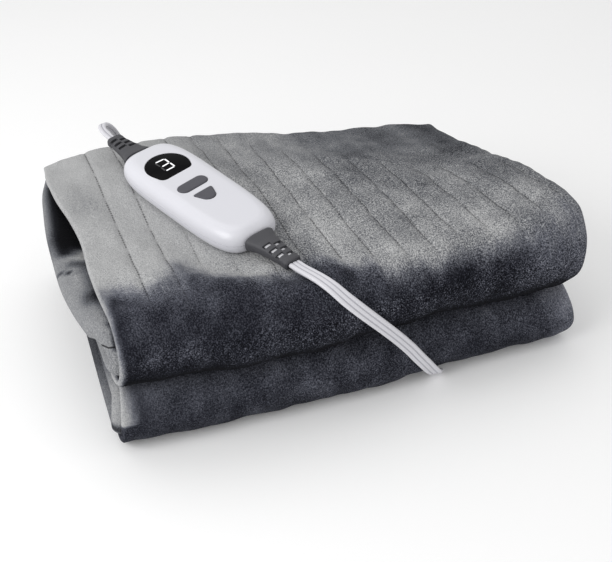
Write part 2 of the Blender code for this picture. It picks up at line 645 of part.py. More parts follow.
def make_plug(body_finish, pin_finish):
    """A plain flat two-pin plug, lying on its wide side."""
    middle = (PLUG_START[0] - STACK_MIDDLE[0], PLUG_START[1] - STACK_MIDDLE[1], PLUG_AXIS_Z)
    rings = [relief_ring(d / 1000, w / 1000, h / 1000) for d, w, h in PLUG_SECTIONS]
    body = solid("plug_body", *loft(rings), body_finish)
    body.location = middle
    front = PLUG_SECTIONS[-1][0] / 1000
    for name, side in (("plug_pin_left", 1), ("plug_pin_right", -1)):
        levels = ((GAP, 1.0), (PIN_LENGTH - 0.0012, 1.0), (PIN_LENGTH, 0.5))
        rings = []
        for x, scale in levels:
            rings.append([(x, PIN_RADIUS * scale * math.cos(a), PIN_RADIUS * scale * math.sin(a))
                          for a in (2 * math.pi * i / 12 for i in range(12))])
        pin = solid(name, *loft(rings), pin_finish)
        pin.location = (middle[0] + front, middle[1] + side * PIN_SPACING / 2, middle[2])


# ---------------------------------------------------------------- the whole part

def clear_scene():
    for thing in list(bpy.data.objects):
        bpy.data.objects.remove(thing)


def make_pad_frame():
    """An empty that carries every piece of the controller in its rest pose."""
    along, across, up = pad_axes()
    turn = Matrix((along, across, up)).transposed().to_4x4()
    empty = bpy.data.objects.new("controller_frame", None)
    origin = settled([pad_origin()])[0]
    empty.matrix_world = Matrix.Translation(origin) @ turn
    bpy.context.collection.objects.link(empty)
    return empty


def main():
    clear_scene()
    plush = material("plush", (0.20, 0.21, 0.23), 0.95)
    shell = material("shell_white", (0.80, 0.80, 0.80), 0.35)
    cover = material("cover_white", (0.82, 0.82, 0.83), 0.30)
    glass = material("display_black", (0.01, 0.01, 0.012), 0.10)
    rubber = material("button_grey", (0.20, 0.20, 0.22), 0.60)
    relief = material("relief_grey", (0.36, 0.37, 0.39), 0.60)
    cord = material("cord_white", (0.80, 0.80, 0.80), 0.45)
    plug = material("plug_white", (0.80, 0.80, 0.80), 0.35)
    pins = material("pin_metal", (0.80, 0.78, 0.70), 0.30, 1.0)
    make_blanket(plush)
    frame = make_pad_frame()
    make_controller(shell, cover, glass, rubber, frame)
    make_relief("relief_mains", -1, -0.0030, 0.0366, relief, frame)
    make_relief("relief_lead", 1, -0.0007, 0.0393, relief, frame)
    make_flat_cord("mains_cord", MAINS_ROUTE, MAINS_WIDTH, MAINS_THICK, 0.0075, cord)
    make_flat_cord("mains_tail", TAIL_ROUTE, MAINS_WIDTH, MAINS_THICK, 0.0075, cord)
    make_flat_cord("lead_cord", LEAD_ROUTE, LEAD_WIDTH, LEAD_THICK, 0.0075, cord)
    make_coil(cord)
    make_plug(plug, pins)


main()
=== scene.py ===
"""Folded electric blanket with its hand controller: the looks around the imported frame.

Lengths are in metres. +X runs along the folded front, +Y away from it and +Z up. Shapes are
worked out where the stack was set out, and then moved by STACK_MIDDLE into the part's frame.
"""

import math

import bpy
import numpy as np
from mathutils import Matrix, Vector


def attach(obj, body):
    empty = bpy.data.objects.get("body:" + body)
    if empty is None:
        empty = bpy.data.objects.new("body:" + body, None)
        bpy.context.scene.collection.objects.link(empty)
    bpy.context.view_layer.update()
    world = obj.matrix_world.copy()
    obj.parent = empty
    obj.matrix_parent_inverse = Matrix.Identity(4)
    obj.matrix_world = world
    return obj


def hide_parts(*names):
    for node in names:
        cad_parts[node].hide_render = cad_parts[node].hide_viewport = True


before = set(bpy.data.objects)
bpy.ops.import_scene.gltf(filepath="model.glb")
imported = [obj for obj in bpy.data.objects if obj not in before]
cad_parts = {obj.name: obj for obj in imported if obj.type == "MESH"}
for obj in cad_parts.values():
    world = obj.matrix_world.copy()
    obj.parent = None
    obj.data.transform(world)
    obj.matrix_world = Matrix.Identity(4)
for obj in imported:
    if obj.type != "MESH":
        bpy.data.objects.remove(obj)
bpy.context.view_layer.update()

bl_info = {
    "name": "Folded heated blanket",
    "version": (1, 0, 0),
    "blender": (4, 5, 0),
    "location": "View3D > Sidebar > Blanket",
    "description": "Cloth, controller, leads and stage around the packed frame",
    "category": "Object",
}

GAP = 0.0003                      # between pieces that touch
STACK_MIDDLE = (-0.0024, -0.0090)  # footprint's middle, from the point the stack was set out at

# --- the folded cloth ---
PITCH_UPPER = 0.00765             # layer to layer in the two upper passes
PITCH_LOWER = 0.00645             # and in the two lower ones
CLOTH = 0.0055                    # thickness of the cloth with its wadding
ROLL_UPPER_Y = -0.1120            # axes of the front folds and the back fold
ROLL_LOWER_Y = -0.1110
ROLL_BACK_Y = 0.1050
END_TOP_Y = 0.1310                # free ends of the strip
END_BOTTOM_Y = 0.1280
PASS_RUN = 0.24                   # length of one pass
EDGE_RUN = 0.0024                 # rounding of a cut edge
EDGE_LEAST = 0.12                 # part of the thickness that is left at the edge itself
LINE_FIRST = -0.1500              # first row of stitches that holds a heating wire
LINE_PITCH = 0.0235
LINE_COUNT = 15
RIGHT_CREASE_DROP = 0.0120        # how much lower the crease between the rolls lies at the right
LIP_DROP = 0.0045                 # how far the layers below the top one hang at the left edge

# --- the controller ---
PAD_CENTRE = (-0.0845, 0.0021, 0.1230)  # from the point the stack was set out at
PAD_HEADING = math.radians(-69.3)
PAD_PITCH = math.radians(4.7)
PAD_ROLL = math.radians(6.5)
PAD_LENGTH, PAD_WIDTH, PAD_HEIGHT = 0.150, 0.058, 0.020
PAD_TAPER = 0.03                  # how much narrower it gets from its middle to the lead's end
PAD_SQUARENESS = 4.1              # power of the superellipse that is its outline
PAD_SPLIT = 0.0088                # height of the joint between the shells
# Outlines in the controller's frame, each round a row of circles: x, y and radius.
WINDOW = ((-0.0352, -0.0014, 0.0181), (-0.0254, -0.0124, 0.0050), (-0.0270, 0.0094, 0.0050))
PILL = ((-0.0004, -0.0104, 0.0055), (-0.0016, 0.0056, 0.0055))
ARROW = ((0.0178, -0.0021, 0.0062), (0.0118, 0.0050, 0.0014), (0.0127, -0.0096, 0.0014))

# --- the strain reliefs and the leads ---
RELIEF_AXIS_Z = 0.0095            # height of their axes over the controller's underside
RELIEF_START = 0.0753             # from the controller's middle to their roots
MAINS_WIDTH, MAINS_THICK = 0.0065, 0.0030
LEAD_WIDTH, LEAD_THICK = 0.0102, 0.0032
COIL_CENTRE = (0.0, 0.1885)       # from the point the stack was set out at


# ---------------------------------------------------------------- settings

class BlanketCloth(bpy.types.PropertyGroup):
    """Sizes and colours of the plush cloth."""
    thickness: bpy.props.FloatProperty(
        name="Thickness", description="Cloth with its wadding", default=CLOTH, unit="LENGTH")
    stitch_depth: bpy.props.FloatProperty(
        name="Stitch depth", description="How far a row of stitches draws the cloth in",
        default=0.0008, unit="LENGTH")
    ripple: bpy.props.FloatProperty(
        name="Ripple", description="Height of the soft waves in the cloth", default=0.0008,
        unit="LENGTH")
    # The three nap colours hold painted light on the top and painted shade on the front, over the
    # pile's own tone.
    dark: bpy.props.FloatVectorProperty(
        name="Nap away", description="Colour of the nap brushed away from the light",
        subtype="COLOR", default=(0.0165, 0.0172, 0.0212))
    middle: bpy.props.FloatVectorProperty(
        name="Nap across", description="Colour of the nap brushed sideways",
        subtype="COLOR", default=(0.134, 0.139, 0.152))
    light: bpy.props.FloatVectorProperty(
        name="Nap towards", description="Colour of the nap brushed towards the light",
        subtype="COLOR", default=(0.400, 0.402, 0.404))


class BlanketController(bpy.types.PropertyGroup):
    """Colours of the hand controller."""
    shell: bpy.props.FloatVectorProperty(
        name="Shell", description="Moulded plastic of both shells", subtype="COLOR",
        default=(0.690, 0.690, 0.735))
    rubber: bpy.props.FloatVectorProperty(
        name="Buttons", description="Soft plastic of the buttons", subtype="COLOR",
        default=(0.075, 0.074, 0.088))
    relief: bpy.props.FloatVectorProperty(
        name="Strain reliefs", description="Rubber of the strain reliefs", subtype="COLOR",
        default=(0.061, 0.061, 0.069))
    lining: bpy.props.FloatVectorProperty(
        name="Relief lining", description="Lead seen through the slots of the lower relief",
        subtype="COLOR", default=(0.700, 0.700, 0.730))
    digit: bpy.props.FloatVectorProperty(
        name="Digit", description="Colour of the lit digit", subtype="COLOR",
        default=(0.92, 0.93, 0.95))


class BlanketLeads(bpy.types.PropertyGroup):
    """Colours of the leads and the plug."""
    jacket: bpy.props.FloatVectorProperty(
        name="Jacket", description="Plastic round the wires", subtype="COLOR",
        default=(0.690, 0.685, 0.725))
    groove: bpy.props.FloatVectorProperty(
        name="Groove", description="Shaded grooves between the wires", subtype="COLOR",
        default=(0.260, 0.260, 0.300))
    plug: bpy.props.FloatVectorProperty(
        name="Plug", description="Moulded plastic of the plug", subtype="COLOR",
        default=(0.780, 0.780, 0.800))


class BlanketStage(bpy.types.PropertyGroup):
    """Floor and light."""
    floor: bpy.props.FloatVectorProperty(
        name="Floor", description="Colour of the floor", subtype="COLOR",
        default=(0.965, 0.965, 0.965))
    sky: bpy.props.FloatProperty(
        name="Surrounding light", description="Strength of the even light from all sides",
        default=0.71)
    key: bpy.props.FloatProperty(
        name="Main light", description="Power of the large soft lamp at the left", default=9.0,
        unit="POWER")


# ---------------------------------------------------------------- numbers and shapes

def ease(value, low, high):
    """0 below low, 1 above high and a smooth step between."""
    t = np.clip((value - low) / (high - low), 0.0, 1.0)
    return t * t * (3.0 - 2.0 * t)


def bell(value, middle, width):
    """1 at the middle and falling off on both sides as a bell curve of that width."""
    return np.exp(-((value - middle) / width) ** 2)


def through(stations, values, at):
    """Smooth curve through values given at rising stations (Catmull-Rom, uneven spacing)."""
    s, v = np.asarray(stations, float), np.asarray(values, float)
    at = np.asarray(at, float)
    slope = np.gradient(v, s, axis=0)
    i = np.clip(np.searchsorted(s, at, side="right") - 1, 0, len(s) - 2)
    h = s[i + 1] - s[i]
    t = (at - s[i]) / h
    shape = t.shape + (1,) * (v.ndim - 1)
    t, h = t.reshape(shape), h.reshape(shape)
    return ((2 * t**3 - 3 * t**2 + 1) * v[i] + (t**3 - 2 * t**2 + t) * h * slope[i]
            + (3 * t**2 - 2 * t**3) * v[i + 1] + (t**3 - t**2) * h * slope[i + 1])


def waves(u, v, length, seed, count=16):
    """Smooth random field of about -1 to 1: sines of nearly one length in seeded directions."""
    rng = np.random.default_rng(seed)
    total = np.zeros(np.broadcast(u, v).shape)
    for angle, phase, pull in zip(rng.uniform(0, np.pi, count), rng.uniform(0, 2 * np.pi, count),
                                  rng.uniform(0.7, 1.5, count)):
        k = 2 * np.pi / length * pull
        total += np.sin(k * (u * np.cos(angle) + v * np.sin(angle)) + phase)
    return total / math.sqrt(count)


def settled(points):
    """From the place the stack was set out at to the part's own frame."""
    return np.asarray(points, float) - (STACK_MIDDLE[0], STACK_MIDDLE[1], 0.0)


def grid_faces(rows, cols, wrap_rows=False, wrap_cols=False):
    """Quads of a grid of points, as an array of corner numbers."""
    r = np.arange(rows if wrap_rows else rows - 1)[:, None]
    c = np.arange(cols if wrap_cols else cols - 1)[None, :]
    r2, c2 = (r + 1) % rows, (c + 1) % cols
    corners = [r * cols + c, r * cols + c2, r2 * cols + c2, r2 * cols + c]
    return np.stack(corners, axis=-1).reshape(-1, 4)


def fan_faces(ring, centre):
    """Triangles from each side of a ring of point numbers to a centre point."""
    return np.stack([ring, np.roll(ring, -1), np.full_like(ring, centre)], axis=1)


def new_piece(name, points, quads, triangles, finish, body="stack", replaces=(), slot=None,
              smooth_angle=35.0, fields=None):
    """One closed mesh object, which rides on a body of the frame.

    Its signed volume, a sum over triangles, tells whether the faces have to be turned outwards.
    """
    points = np.asarray(points, float)
    quads = np.asarray(quads, int).reshape(-1, 4)
    triangles = np.asarray(triangles, int).reshape(-1, 3)
    fans = np.concatenate([quads[:, [0, 1, 2]], quads[:, [0, 2, 3]], triangles])
    a, b, c = (points[fans[:, i]] for i in range(3))
    if np.einsum("ij,ij->i", a, np.cross(b, c)).sum() < 0:
        quads, triangles = quads[:, ::-1], triangles[:, ::-1]
    mesh = bpy.data.meshes.new(name)
    mesh.vertices.add(len(points))
    mesh.vertices.foreach_set("co", points.astype(np.float32).ravel())
    mesh.loops.add(quads.size + triangles.size)
    corners = np.concatenate([quads.ravel(), triangles.ravel()])
    mesh.loops.foreach_set("vertex_index", corners.astype(np.int32))
    mesh.polygons.add(len(quads) + len(triangles))
    starts = np.concatenate([np.arange(len(quads)) * 4, quads.size + np.arange(len(triangles)) * 3])
    mesh.polygons.foreach_set("loop_start", starts.astype(np.int32))
    mesh.update(calc_edges=True)
    mesh.validate()
    for key, values in (fields or {}).items():
        attribute = mesh.attributes.new(key, "FLOAT", "POINT")
        attribute.data.foreach_set("value", np.asarray(values, np.float32).ravel())
    mesh.shade_smooth()
    mesh.set_sharp_from_angle(angle=math.radians(smooth_angle))
    thing = bpy.data.objects.new(name, mesh)
    bpy.context.scene.collection.objects.link(thing)
    mesh.materials.append(finish)
    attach(thing, body)
    if replaces:
        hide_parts(*replaces)
    return thing


def loft(rings):
    """Points and faces of a closed body through rings of equal point count.

    Each end is closed by triangles to the middle of its ring.
    """
    rings = np.asarray(rings, float)
    rows, cols = rings.shape[:2]
    ends = [rings[0].mean(0)[None], rings[-1].mean(0)[None]]
    points = np.concatenate([rings.reshape(-1, 3)] + ends)
    quads = grid_faces(rows, cols, wrap_cols=True)
    first, last = np.arange(cols)[::-1], np.arange((rows - 1) * cols, rows * cols)
    triangles = [fan_faces(first, rows * cols), fan_faces(last, rows * cols + 1)]
    return points, quads, np.concatenate(triangles)


def tube(name, line, wide, face, profile, finish, **details):
    """A flat cord along a line: the profile's x runs along wide and its y along face."""
    rings = (line[:, None, :] + wide[:, None, :] * profile[None, :, :1]
             + face[:, None, :] * profile[None, :, 1:2])
    valley = np.tile(profile[:, 2], len(line))
    fields = {"valley": np.concatenate([valley, [0.0, 0.0]])}
    return new_piece(name, *loft(rings), finish, smooth_angle=50.0, fields=fields, **details)


# ---------------------------------------------------------------- shader arithmetic

class Wire:
    """A node's output that sums are written with; each sum adds its Math node."""

    def __init__(self, finish, socket):
        self.finish, self.socket = finish, socket

    def _sum(self, operation, first, second):
        return self.finish.add("ShaderNodeMath", {"operation": operation}, {0: first, 1: second})

    def __add__(self, other):
        return self._sum("ADD", self, other)

    def __radd__(self, other):
        return self._sum("ADD", other, self)

    def __sub__(self, other):
        return self._sum("SUBTRACT", self, other)

    def __rsub__(self, other):
        return self._sum("SUBTRACT", other, self)

    def __mul__(self, other):
        return self._sum("MULTIPLY", self, other)

    def __rmul__(self, other):
        return self._sum("MULTIPLY", other, self)

    def clamped(self):
        """Between 0 and 1."""
        return self.finish.add("ShaderNodeClamp", {}, {"Value": self, "Min": 0.0, "Max": 1.0})


class Finish:
    """A procedural material under construction."""

    def __init__(self, name, **constants):
        self.material = bpy.data.materials.new(name)
        self.material.use_nodes = True
        self.tree = self.material.node_tree
        self.shader = self.tree.nodes["Principled BSDF"]
        for key, value in constants.items():
            self.set(key.replace("_", " ").title(), value)
        self.place = None

    def add(self, kind, settings=None, inputs=None, output=0):
        """A node of that kind: its settings first, then the values or links of its sockets."""
        node = self.tree.nodes.new(kind)
        for key, value in (settings or {}).items():
            if key == "stops":
                ramp = node.color_ramp.elements
                while len(ramp) < len(value):
                    ramp.new(0.5)
                for element, (position, colour) in zip(ramp, value):
                    element.position = position
                    element.color = (*colour, 1.0)
            else:
                setattr(node, key, value)
        for key, value in (inputs or {}).items():
            if isinstance(value, Wire):
                self.tree.links.new(value.socket, node.inputs[key])
            else:
                node.inputs[key].default_value = value
        return Wire(self, node.outputs[output])

    def set(self, name, value):
        """Give the shader's own socket a constant or a link."""
        if isinstance(value, Wire):
            self.tree.links.new(value.socket, self.shader.inputs[name])
        elif hasattr(value, "__len__") and len(value) == 3:
            self.shader.inputs[name].default_value = (*value, 1.0)
        else:
            self.shader.inputs[name].default_value = value

    def field(self, name):
        """The mesh's own attribute of that name."""
        return self.add("ShaderNodeAttribute", {"attribute_name": name}, output="Fac")

    def noise(self, scale, detail=2.0, roughness=0.5, distortion=0.0, stretch=None):
        """Noise on Object coordinates, whose scale is in features for each metre."""
        if self.place is None:
            self.place = self.add("ShaderNodeTexCoord", output="Object")
        place = self.place
        if stretch:
            place = self.add("ShaderNodeMapping", {}, {"Vector": place, "Scale": stretch})
        return self.add("ShaderNodeTexNoise", {}, {
            "Vector": place, "Scale": scale, "Detail": detail, "Roughness": roughness,
            "Distortion": distortion})

    def mix(self, factor, first, second, blend="MIX"):
        """Colour between first and second, or first multiplied by second."""
        def four(colour):
            return colour if isinstance(colour, Wire) else (*tuple(colour)[:3], 1.0)
        inputs = {0: factor, 6: four(first), 7: four(second)}
        return self.add("ShaderNodeMix", {"data_type": "RGBA", "blend_type": blend}, inputs, 2)

    def step(self, value, low, high):
        """0 below low and 1 above high, smooth between."""
        return self.add("ShaderNodeMapRange", {"interpolation_type": "SMOOTHSTEP"}, {
            "Value": value, "From Min": low, "From Max": high, "To Min": 0.0, "To Max": 1.0})

    def bump(self, height, distance, strength=1.0):
        """Normal of a surface raised by height times distance."""
        sockets = {"Height": height, "Distance": distance, "Strength": strength}
        return self.add("ShaderNodeBump", {}, sockets)


def moulded_plastic(name, colour, roughness, grain=0.00002, coat=0.0):
    """Moulded plastic: a faint cast in the colour, uneven gloss and fine spark-eroded grain."""
    finish = Finish(name)
    cloud = finish.noise(35.0, 3.0)
    finish.set("Base Color", finish.mix(cloud * 0.35, colour, [c * 0.94 for c in colour]))
    finish.set("Roughness", roughness + (finish.noise(90.0, 4.0) - 0.5) * 0.12)
    finish.set("Coat Weight", coat)
    finish.set("Normal", finish.bump(finish.noise(2600.0, 2.0), grain))
    return finish.material


# ---------------------------------------------------------------- the controller's frame

def pad_axes():
    """The controller's own x, y and z directions as it lies on the stack."""
    heading = Vector((math.cos(PAD_HEADING), math.sin(PAD_HEADING), 0.0))
    along = heading * math.cos(PAD_PITCH) - Vector((0, 0, 1)) * math.sin(PAD_PITCH)
    level = Vector((-heading.y, heading.x, 0.0))
    across = level * math.cos(PAD_ROLL) + along.cross(level) * math.sin(PAD_ROLL)
    return along, across, along.cross(across)


def pad_origin():
    """Middle of the controller's underside."""
    return Vector(PAD_CENTRE) - pad_axes()[2] * (PAD_HEIGHT / 2)


def on_pad(points):
    """From the controller's own frame to the part's frame."""
    return settled(np.asarray(points, float) @ np.array(pad_axes()) + np.array(pad_origin()))


# ---------------------------------------------------------------- the folded cloth

# Side positions of the cloth in millimetres, at places along the folded strip. A place
# counts the stretches: 0 to 1 top pass, 1 to 2 upper front fold, 2 to 3 second pass,
# 3 to 4 back fold, 4 to 5 third pass, 5 to 6 lower front fold, 6 to 7 bottom pass.
SIDES = {
    "place": (0.00, 0.12, 0.28, 0.46, 0.60, 0.78, 0.90, 1.00, 1.25, 1.50, 1.75, 2.00,
              2.50, 3.00, 4.00, 4.50, 5.00, 5.50, 6.00, 6.50, 7.00),
    "hem": (-185, -187, -187, -182, -180, -182, -182, -181, -180, -180, -181, -182,
            -180, -177, -176, -176, -178, -183, -183, -179, -176),
    "loop": (-182, -189, -194, -198, -199, -199, -196, -192, -185, -182, -182, -183,
             -182, -178, -176, -178, -181, -185, -184, -180, -176),
    "inner_hem": (-176, -176, -175, -174, -174, -173, -173, -174, -176, -177, -177, -176,
                  -175, -173, -171, -170, -175, -178, -176, -171, -171),
    "outer_turn": (183, 184, 186, 188, 190, 190, 189, 188, 188, 188, 189, 191,
                   193, 194, 194, 191, 188, 187, 186, 187, 188),
    "inner_turn": (180, 181, 183, 185, 187, 187, 186, 185, 185, 185, 186, 188,
                   190, 191, 191, 188, 185, 184, 183, 184, 185),
}

Z_BOTTOM = 2 * PITCH_LOWER
Z_THIRD = 6 * PITCH_LOWER
Z_SECOND = 8 * PITCH_LOWER + 2 * PITCH_UPPER
Z_TOP = 8 * PITCH_LOWER + 6 * PITCH_UPPER
Z_DROP = 0.5 * PITCH_LOWER - CLOTH / 2
TOP_FACE = Z_TOP + 1.5 * PITCH_UPPER + CLOTH / 2 - Z_DROP


def strip_line(place):
    """Middle line of the strip, as y, z and its outward direction, at places 0 to 7.

    Straight level passes, joined by half circles about the axes of the folds.
    """
    stretch = np.clip(place.astype(int), 0, 6)
    f = place - stretch
    turn, back = np.pi * (0.5 + f), np.pi * (0.5 - f)
    back_radius = (Z_SECOND - Z_THIRD) / 2
    y = np.choose(stretch, [
        END_TOP_Y + (ROLL_UPPER_Y - END_TOP_Y) * f,
        ROLL_UPPER_Y + 2 * PITCH_UPPER * np.cos(turn),
        ROLL_UPPER_Y + (ROLL_BACK_Y - ROLL_UPPER_Y) * f,
        ROLL_BACK_Y + back_radius * np.cos(back),
        ROLL_BACK_Y + (ROLL_LOWER_Y - ROLL_BACK_Y) * f,
        ROLL_LOWER_Y + 2 * PITCH_LOWER * np.cos(turn),
        ROLL_LOWER_Y + (END_BOTTOM_Y - ROLL_LOWER_Y) * f])
    z = np.choose(stretch, [
        Z_TOP + 0 * f,
        (Z_TOP + Z_SECOND) / 2 + 2 * PITCH_UPPER * np.sin(turn),
        Z_SECOND + 0 * f,
        (Z_SECOND + Z_THIRD) / 2 + back_radius * np.sin(back),
        Z_THIRD + 0 * f,
        (Z_THIRD + Z_BOTTOM) / 2 + 2 * PITCH_LOWER * np.sin(turn),
        Z_BOTTOM + 0 * f])
    up, level = np.ones_like(f), np.zeros_like(f)
    out_y = np.choose(stretch, [
        level, np.cos(turn), level, -np.cos(back), level, np.cos(turn), level])
    out_z = np.choose(stretch, [up, np.sin(turn), -up, -np.sin(back), up, np.sin(turn), -up])
    return y, z - Z_DROP, out_y, out_z


def strip_places():
    """Places of the cross rows: close together where the cloth shows, and at its cut ends."""
    counts = (70, 26, 5, 20, 4, 24, 7)
    inner = np.concatenate([k + np.arange(n) / n for k, n in enumerate(counts)])
    ends = np.array([0.0012, 0.004, 0.0085])
    return np.sort(np.concatenate([inner, ends, 7 - ends, [7.0]]))


def cloth_columns():
    """Each column across the cloth: kind, part of the way along it, and its fixed x or None.

    The columns between two rows of stitches crowd towards the rows as a sine says.
    """
    near = (0.0, 0.04, 0.15, 0.35, 0.65, 1.0)
    columns = [("hem", EDGE_RUN * t, None) for t in near]
    first, last = LINE_FIRST - 0.024, LINE_FIRST + (LINE_COUNT - 1) * LINE_PITCH
    steps = np.linspace(0.0, 1.0, 12, endpoint=False)
    spread = steps - 0.105 * np.sin(2 * np.pi * steps)
    for k in range(-1, LINE_COUNT - 1):
        start = first + 0.0005 if k < 0 else LINE_FIRST + k * LINE_PITCH
        width = LINE_FIRST - start if k < 0 else LINE_PITCH
        columns += [("flat", 0.0, start + width * t) for t in spread]
    columns += [("flat", 0.0, last)]
    columns += [("turn_a", t, None) for t in np.linspace(0.0, 1.0, 12)]
    columns += [("ply_b", t, None) for t in (0.2, 0.5, 0.72, 0.86, 0.92, 0.96, 0.99)]
    columns += [("loop", t, None) for t in np.linspace(0.0, 1.0, 15)]
    columns += [("ply_c", t, None) for t in (0.012, 0.035, 0.07, 0.14, 0.28, 0.55, 0.85)]
    columns += [("turn_c", t, None) for t in np.linspace(0.0, 1.0, 10)]
    columns += [("ply_d", t, None) for t in (0.15, 0.45, 0.75, 0.9, 0.96)]
    columns += [("inner_hem", EDGE_RUN * t, None) for t in near[::-1]]
    return columns


def column_shape(kind, t, fixed, side, pitch):
    """x, layer offset (in pitches) and face direction of one column at all places.

    The four layers lie 1.5, 0.5, -0.5 and -1.5 pitches off the middle line. Half circles join
    them, two at the right and the loop at the left. The columns of the top layer keep their x,
    and logarithms of a sum of exponentials squeeze them softly between its two edges.
    """
    half = pitch / 2
    a_x = side["outer_turn"] - half
    c_x = side["inner_turn"] - half
    l_x = side["loop"] + 1.5 * half
    ones = np.ones_like(pitch)
    if kind == "hem":
        return side["hem"] + t, 1.5 * ones, 0 * ones, ones
    if kind == "flat":
        low, high = side["hem"] + EDGE_RUN + 0.0010, a_x - 0.0006
        soft = low + 0.0015 * np.log1p(np.exp((fixed - low) / 0.0015))
        soft = high - 0.0012 * np.log1p(np.exp((high - soft) / 0.0012))
        return soft, 1.5 * ones, 0 * ones, ones
    if kind == "ply_b":
        return a_x + (l_x - a_x) * t, 0.5 * ones, 0 * ones, -ones
    if kind == "ply_c":
        return l_x + (c_x - l_x) * t, -0.5 * ones, 0 * ones, ones
    if kind == "ply_d":
        return c_x + (side["inner_hem"] - c_x) * t, -1.5 * ones, 0 * ones, -ones
    if kind == "inner_hem":
        return side["inner_hem"] + t, -1.5 * ones, 0 * ones, -ones
    angle = math.pi * (0.5 - t)
    bend, rise = math.cos(angle), math.sin(angle)
    if kind == "turn_a":
        return a_x + half * bend, (1.0 + 0.5 * rise) * ones, bend * ones, rise * ones
    if kind == "turn_c":
        return c_x + half * bend, (-1.0 + 0.5 * rise) * ones, bend * ones, rise * ones
    return l_x - 1.5 * half * bend, 0.5 * rise * ones, bend * ones, -rise * ones


PRESS_CORNER = 0.015              # corner of the rectangle that the controller presses flat
RELIEF_TIP = 0.112                # from the controller's middle to the tips of the reliefs


def press(x, y):
    """What lies on the cloth: height of its underside and how firmly it holds the cloth there.

    The first two are for the controller, a tilted plane inside a rounded rectangle, and the last
    two for its strain reliefs. The hold fades with the distance from each.
    """
    along, across, up = pad_axes()
    base = pad_origin()
    plane = base.z - ((x - base.x) * up.x + (y - base.y) * up.y) / up.z
    dx, dy = x - base.x, y - base.y
    own_x = dx * along.x + dy * along.y + (plane - base.z) * along.z
    own_y = dx * across.x + dy * across.y + (plane - base.z) * across.z
    out_x = np.maximum(np.abs(own_x) - PAD_LENGTH / 2 + PRESS_CORNER, 0.0)
    out_y = np.maximum(np.abs(own_y) - PAD_WIDTH / 2 + PRESS_CORNER, 0.0)
    away = np.hypot(out_x, out_y) - PRESS_CORNER
    hold = 1.0 - ease(away, 0.006, 0.042)
    away = np.hypot(np.maximum(np.abs(own_x) - RELIEF_TIP, 0.0), own_y)
    relief_hold = (1.0 - ease(away, 0.012, 0.030)) * (np.abs(own_x) > 0.06)
    relief_under = plane + 0.0048 * ease(np.abs(own_x), 0.074, 0.092) - 2 * GAP
    return plane - GAP, hold, relief_under, relief_hold


def bowed(x, y, z):
    """Front line of the stack: fuller left of the middle, drawn back at the right corner.

    A bell pushes the front out, and quarter ellipses round the corners as x nears each end.
    """
    front, back = 1.0 - ease(y, -0.08, 0.05), ease(y, 0.0, 0.11)
    bow = -0.009 * bell(x, -0.06, 0.07) + 0.006 * ease(x, 0.0, 0.12)
    bow = bow * (0.45 + 0.55 * ease(z, 0.02, 0.06))
    bow = bow - 0.003 * bell(x, 0.015, 0.035) * (1.0 - ease(z, 0.02, 0.05))
    near = np.clip((x - 0.146) / 0.070, 0.0, 0.995)
    far = np.clip((x - 0.138) / 0.075, 0.0, 0.98)
    left = np.clip((-0.150 - x) / 0.055, 0.0, 0.98)
    corner = (0.019 + 0.013 * ease(z, 0.03, 0.06)) * (1 - np.sqrt(1 - near**2))
    corner = corner + 0.009 * (1 - np.sqrt(1 - left**2))
    y = y + bow * (1.0 - ease(y, -0.06, 0.08)) + corner * front
    return x, y - 0.026 * (1 - np.sqrt(1 - far**2)) * back, z


def sloped(x, y, z):
    """Height of the stack: lower at the back right, a little fuller at the other corners.

    Steps and bells in x and y scale the height, and sines roughen it. The crease between the
    two rolls drops towards the right.
    """
    rise = (-0.19 * ease(x, -0.02, 0.20) * ease(y, -0.05, 0.13)
            + 0.100 * ease(x, 0.09, 0.19) * (1.0 - ease(y, -0.115, 0.035))
            - 0.054 * bell(x, 0.05, 0.09) * ease(y, 0.03, 0.12)
            - 0.008 * bell(x, 0.145, 0.03) * ease(y, 0.02, 0.10)
            + 0.035 * (1.0 - ease(x, -0.10, 0.05)) * ease(y, 0.02, 0.12)
            - 0.075 * (1.0 - ease(x, -0.185, -0.145)) * ease(y, 0.06, 0.13))
    uneven = 0.009 * np.sin(31 * x + 0.6) * np.sin(27 * y + 1.1)
    crease = 8 * PITCH_LOWER
    lower_part = np.minimum(z / crease, (TOP_FACE - z) / (TOP_FACE - crease))
    z = z * (1.0 + rise + uneven * ease(z, 0.03, 0.11))
    return x, y, z - RIGHT_CREASE_DROP * ease(x, 0.03, 0.20) * np.maximum(lower_part, 0.0)


def slumped(x, y, z, lower_layers):
    """At the left side the layers under the top one sag away from it, behind their own rim."""
    depth = 0.0095 * bell(x, -0.168, 0.017)
    depth = depth * ease(y, -0.060, -0.010) * (1.0 - ease(y, 0.085, 0.125))
    lip = LIP_DROP * (1.0 - ease(x, -0.200, -0.182)) * (1.0 - ease(y, -0.060, 0.030))
    z = z - depth * lower_layers * ease(z, 0.04, 0.104)
    return x, y, z - lip * lower_layers * ease(z, 0.045, 0.085)


def imprinted(x, y, z):
    """The top of the stack takes the slope of the controller and gives under its reliefs."""
    plane, hold, under, under_hold = press(x, y)
    face = sloped(x, y, np.full_like(x, TOP_FACE))[2]
    shift = (plane - face) * hold
    extra = np.minimum(under - (face + shift), 0.0) * under_hold
    return x, y, z + (shift + extra) * ease(z, 0.045, 0.108)


def sheet_normals(sheet):
    """Unit normals of a grid of points, from the steps along it and across it."""
    normal = np.cross(np.gradient(sheet, axis=0), np.gradient(sheet, axis=1))
    length = np.linalg.norm(normal, axis=2, keepdims=True)
    return normal / np.maximum(length, 1e-9)


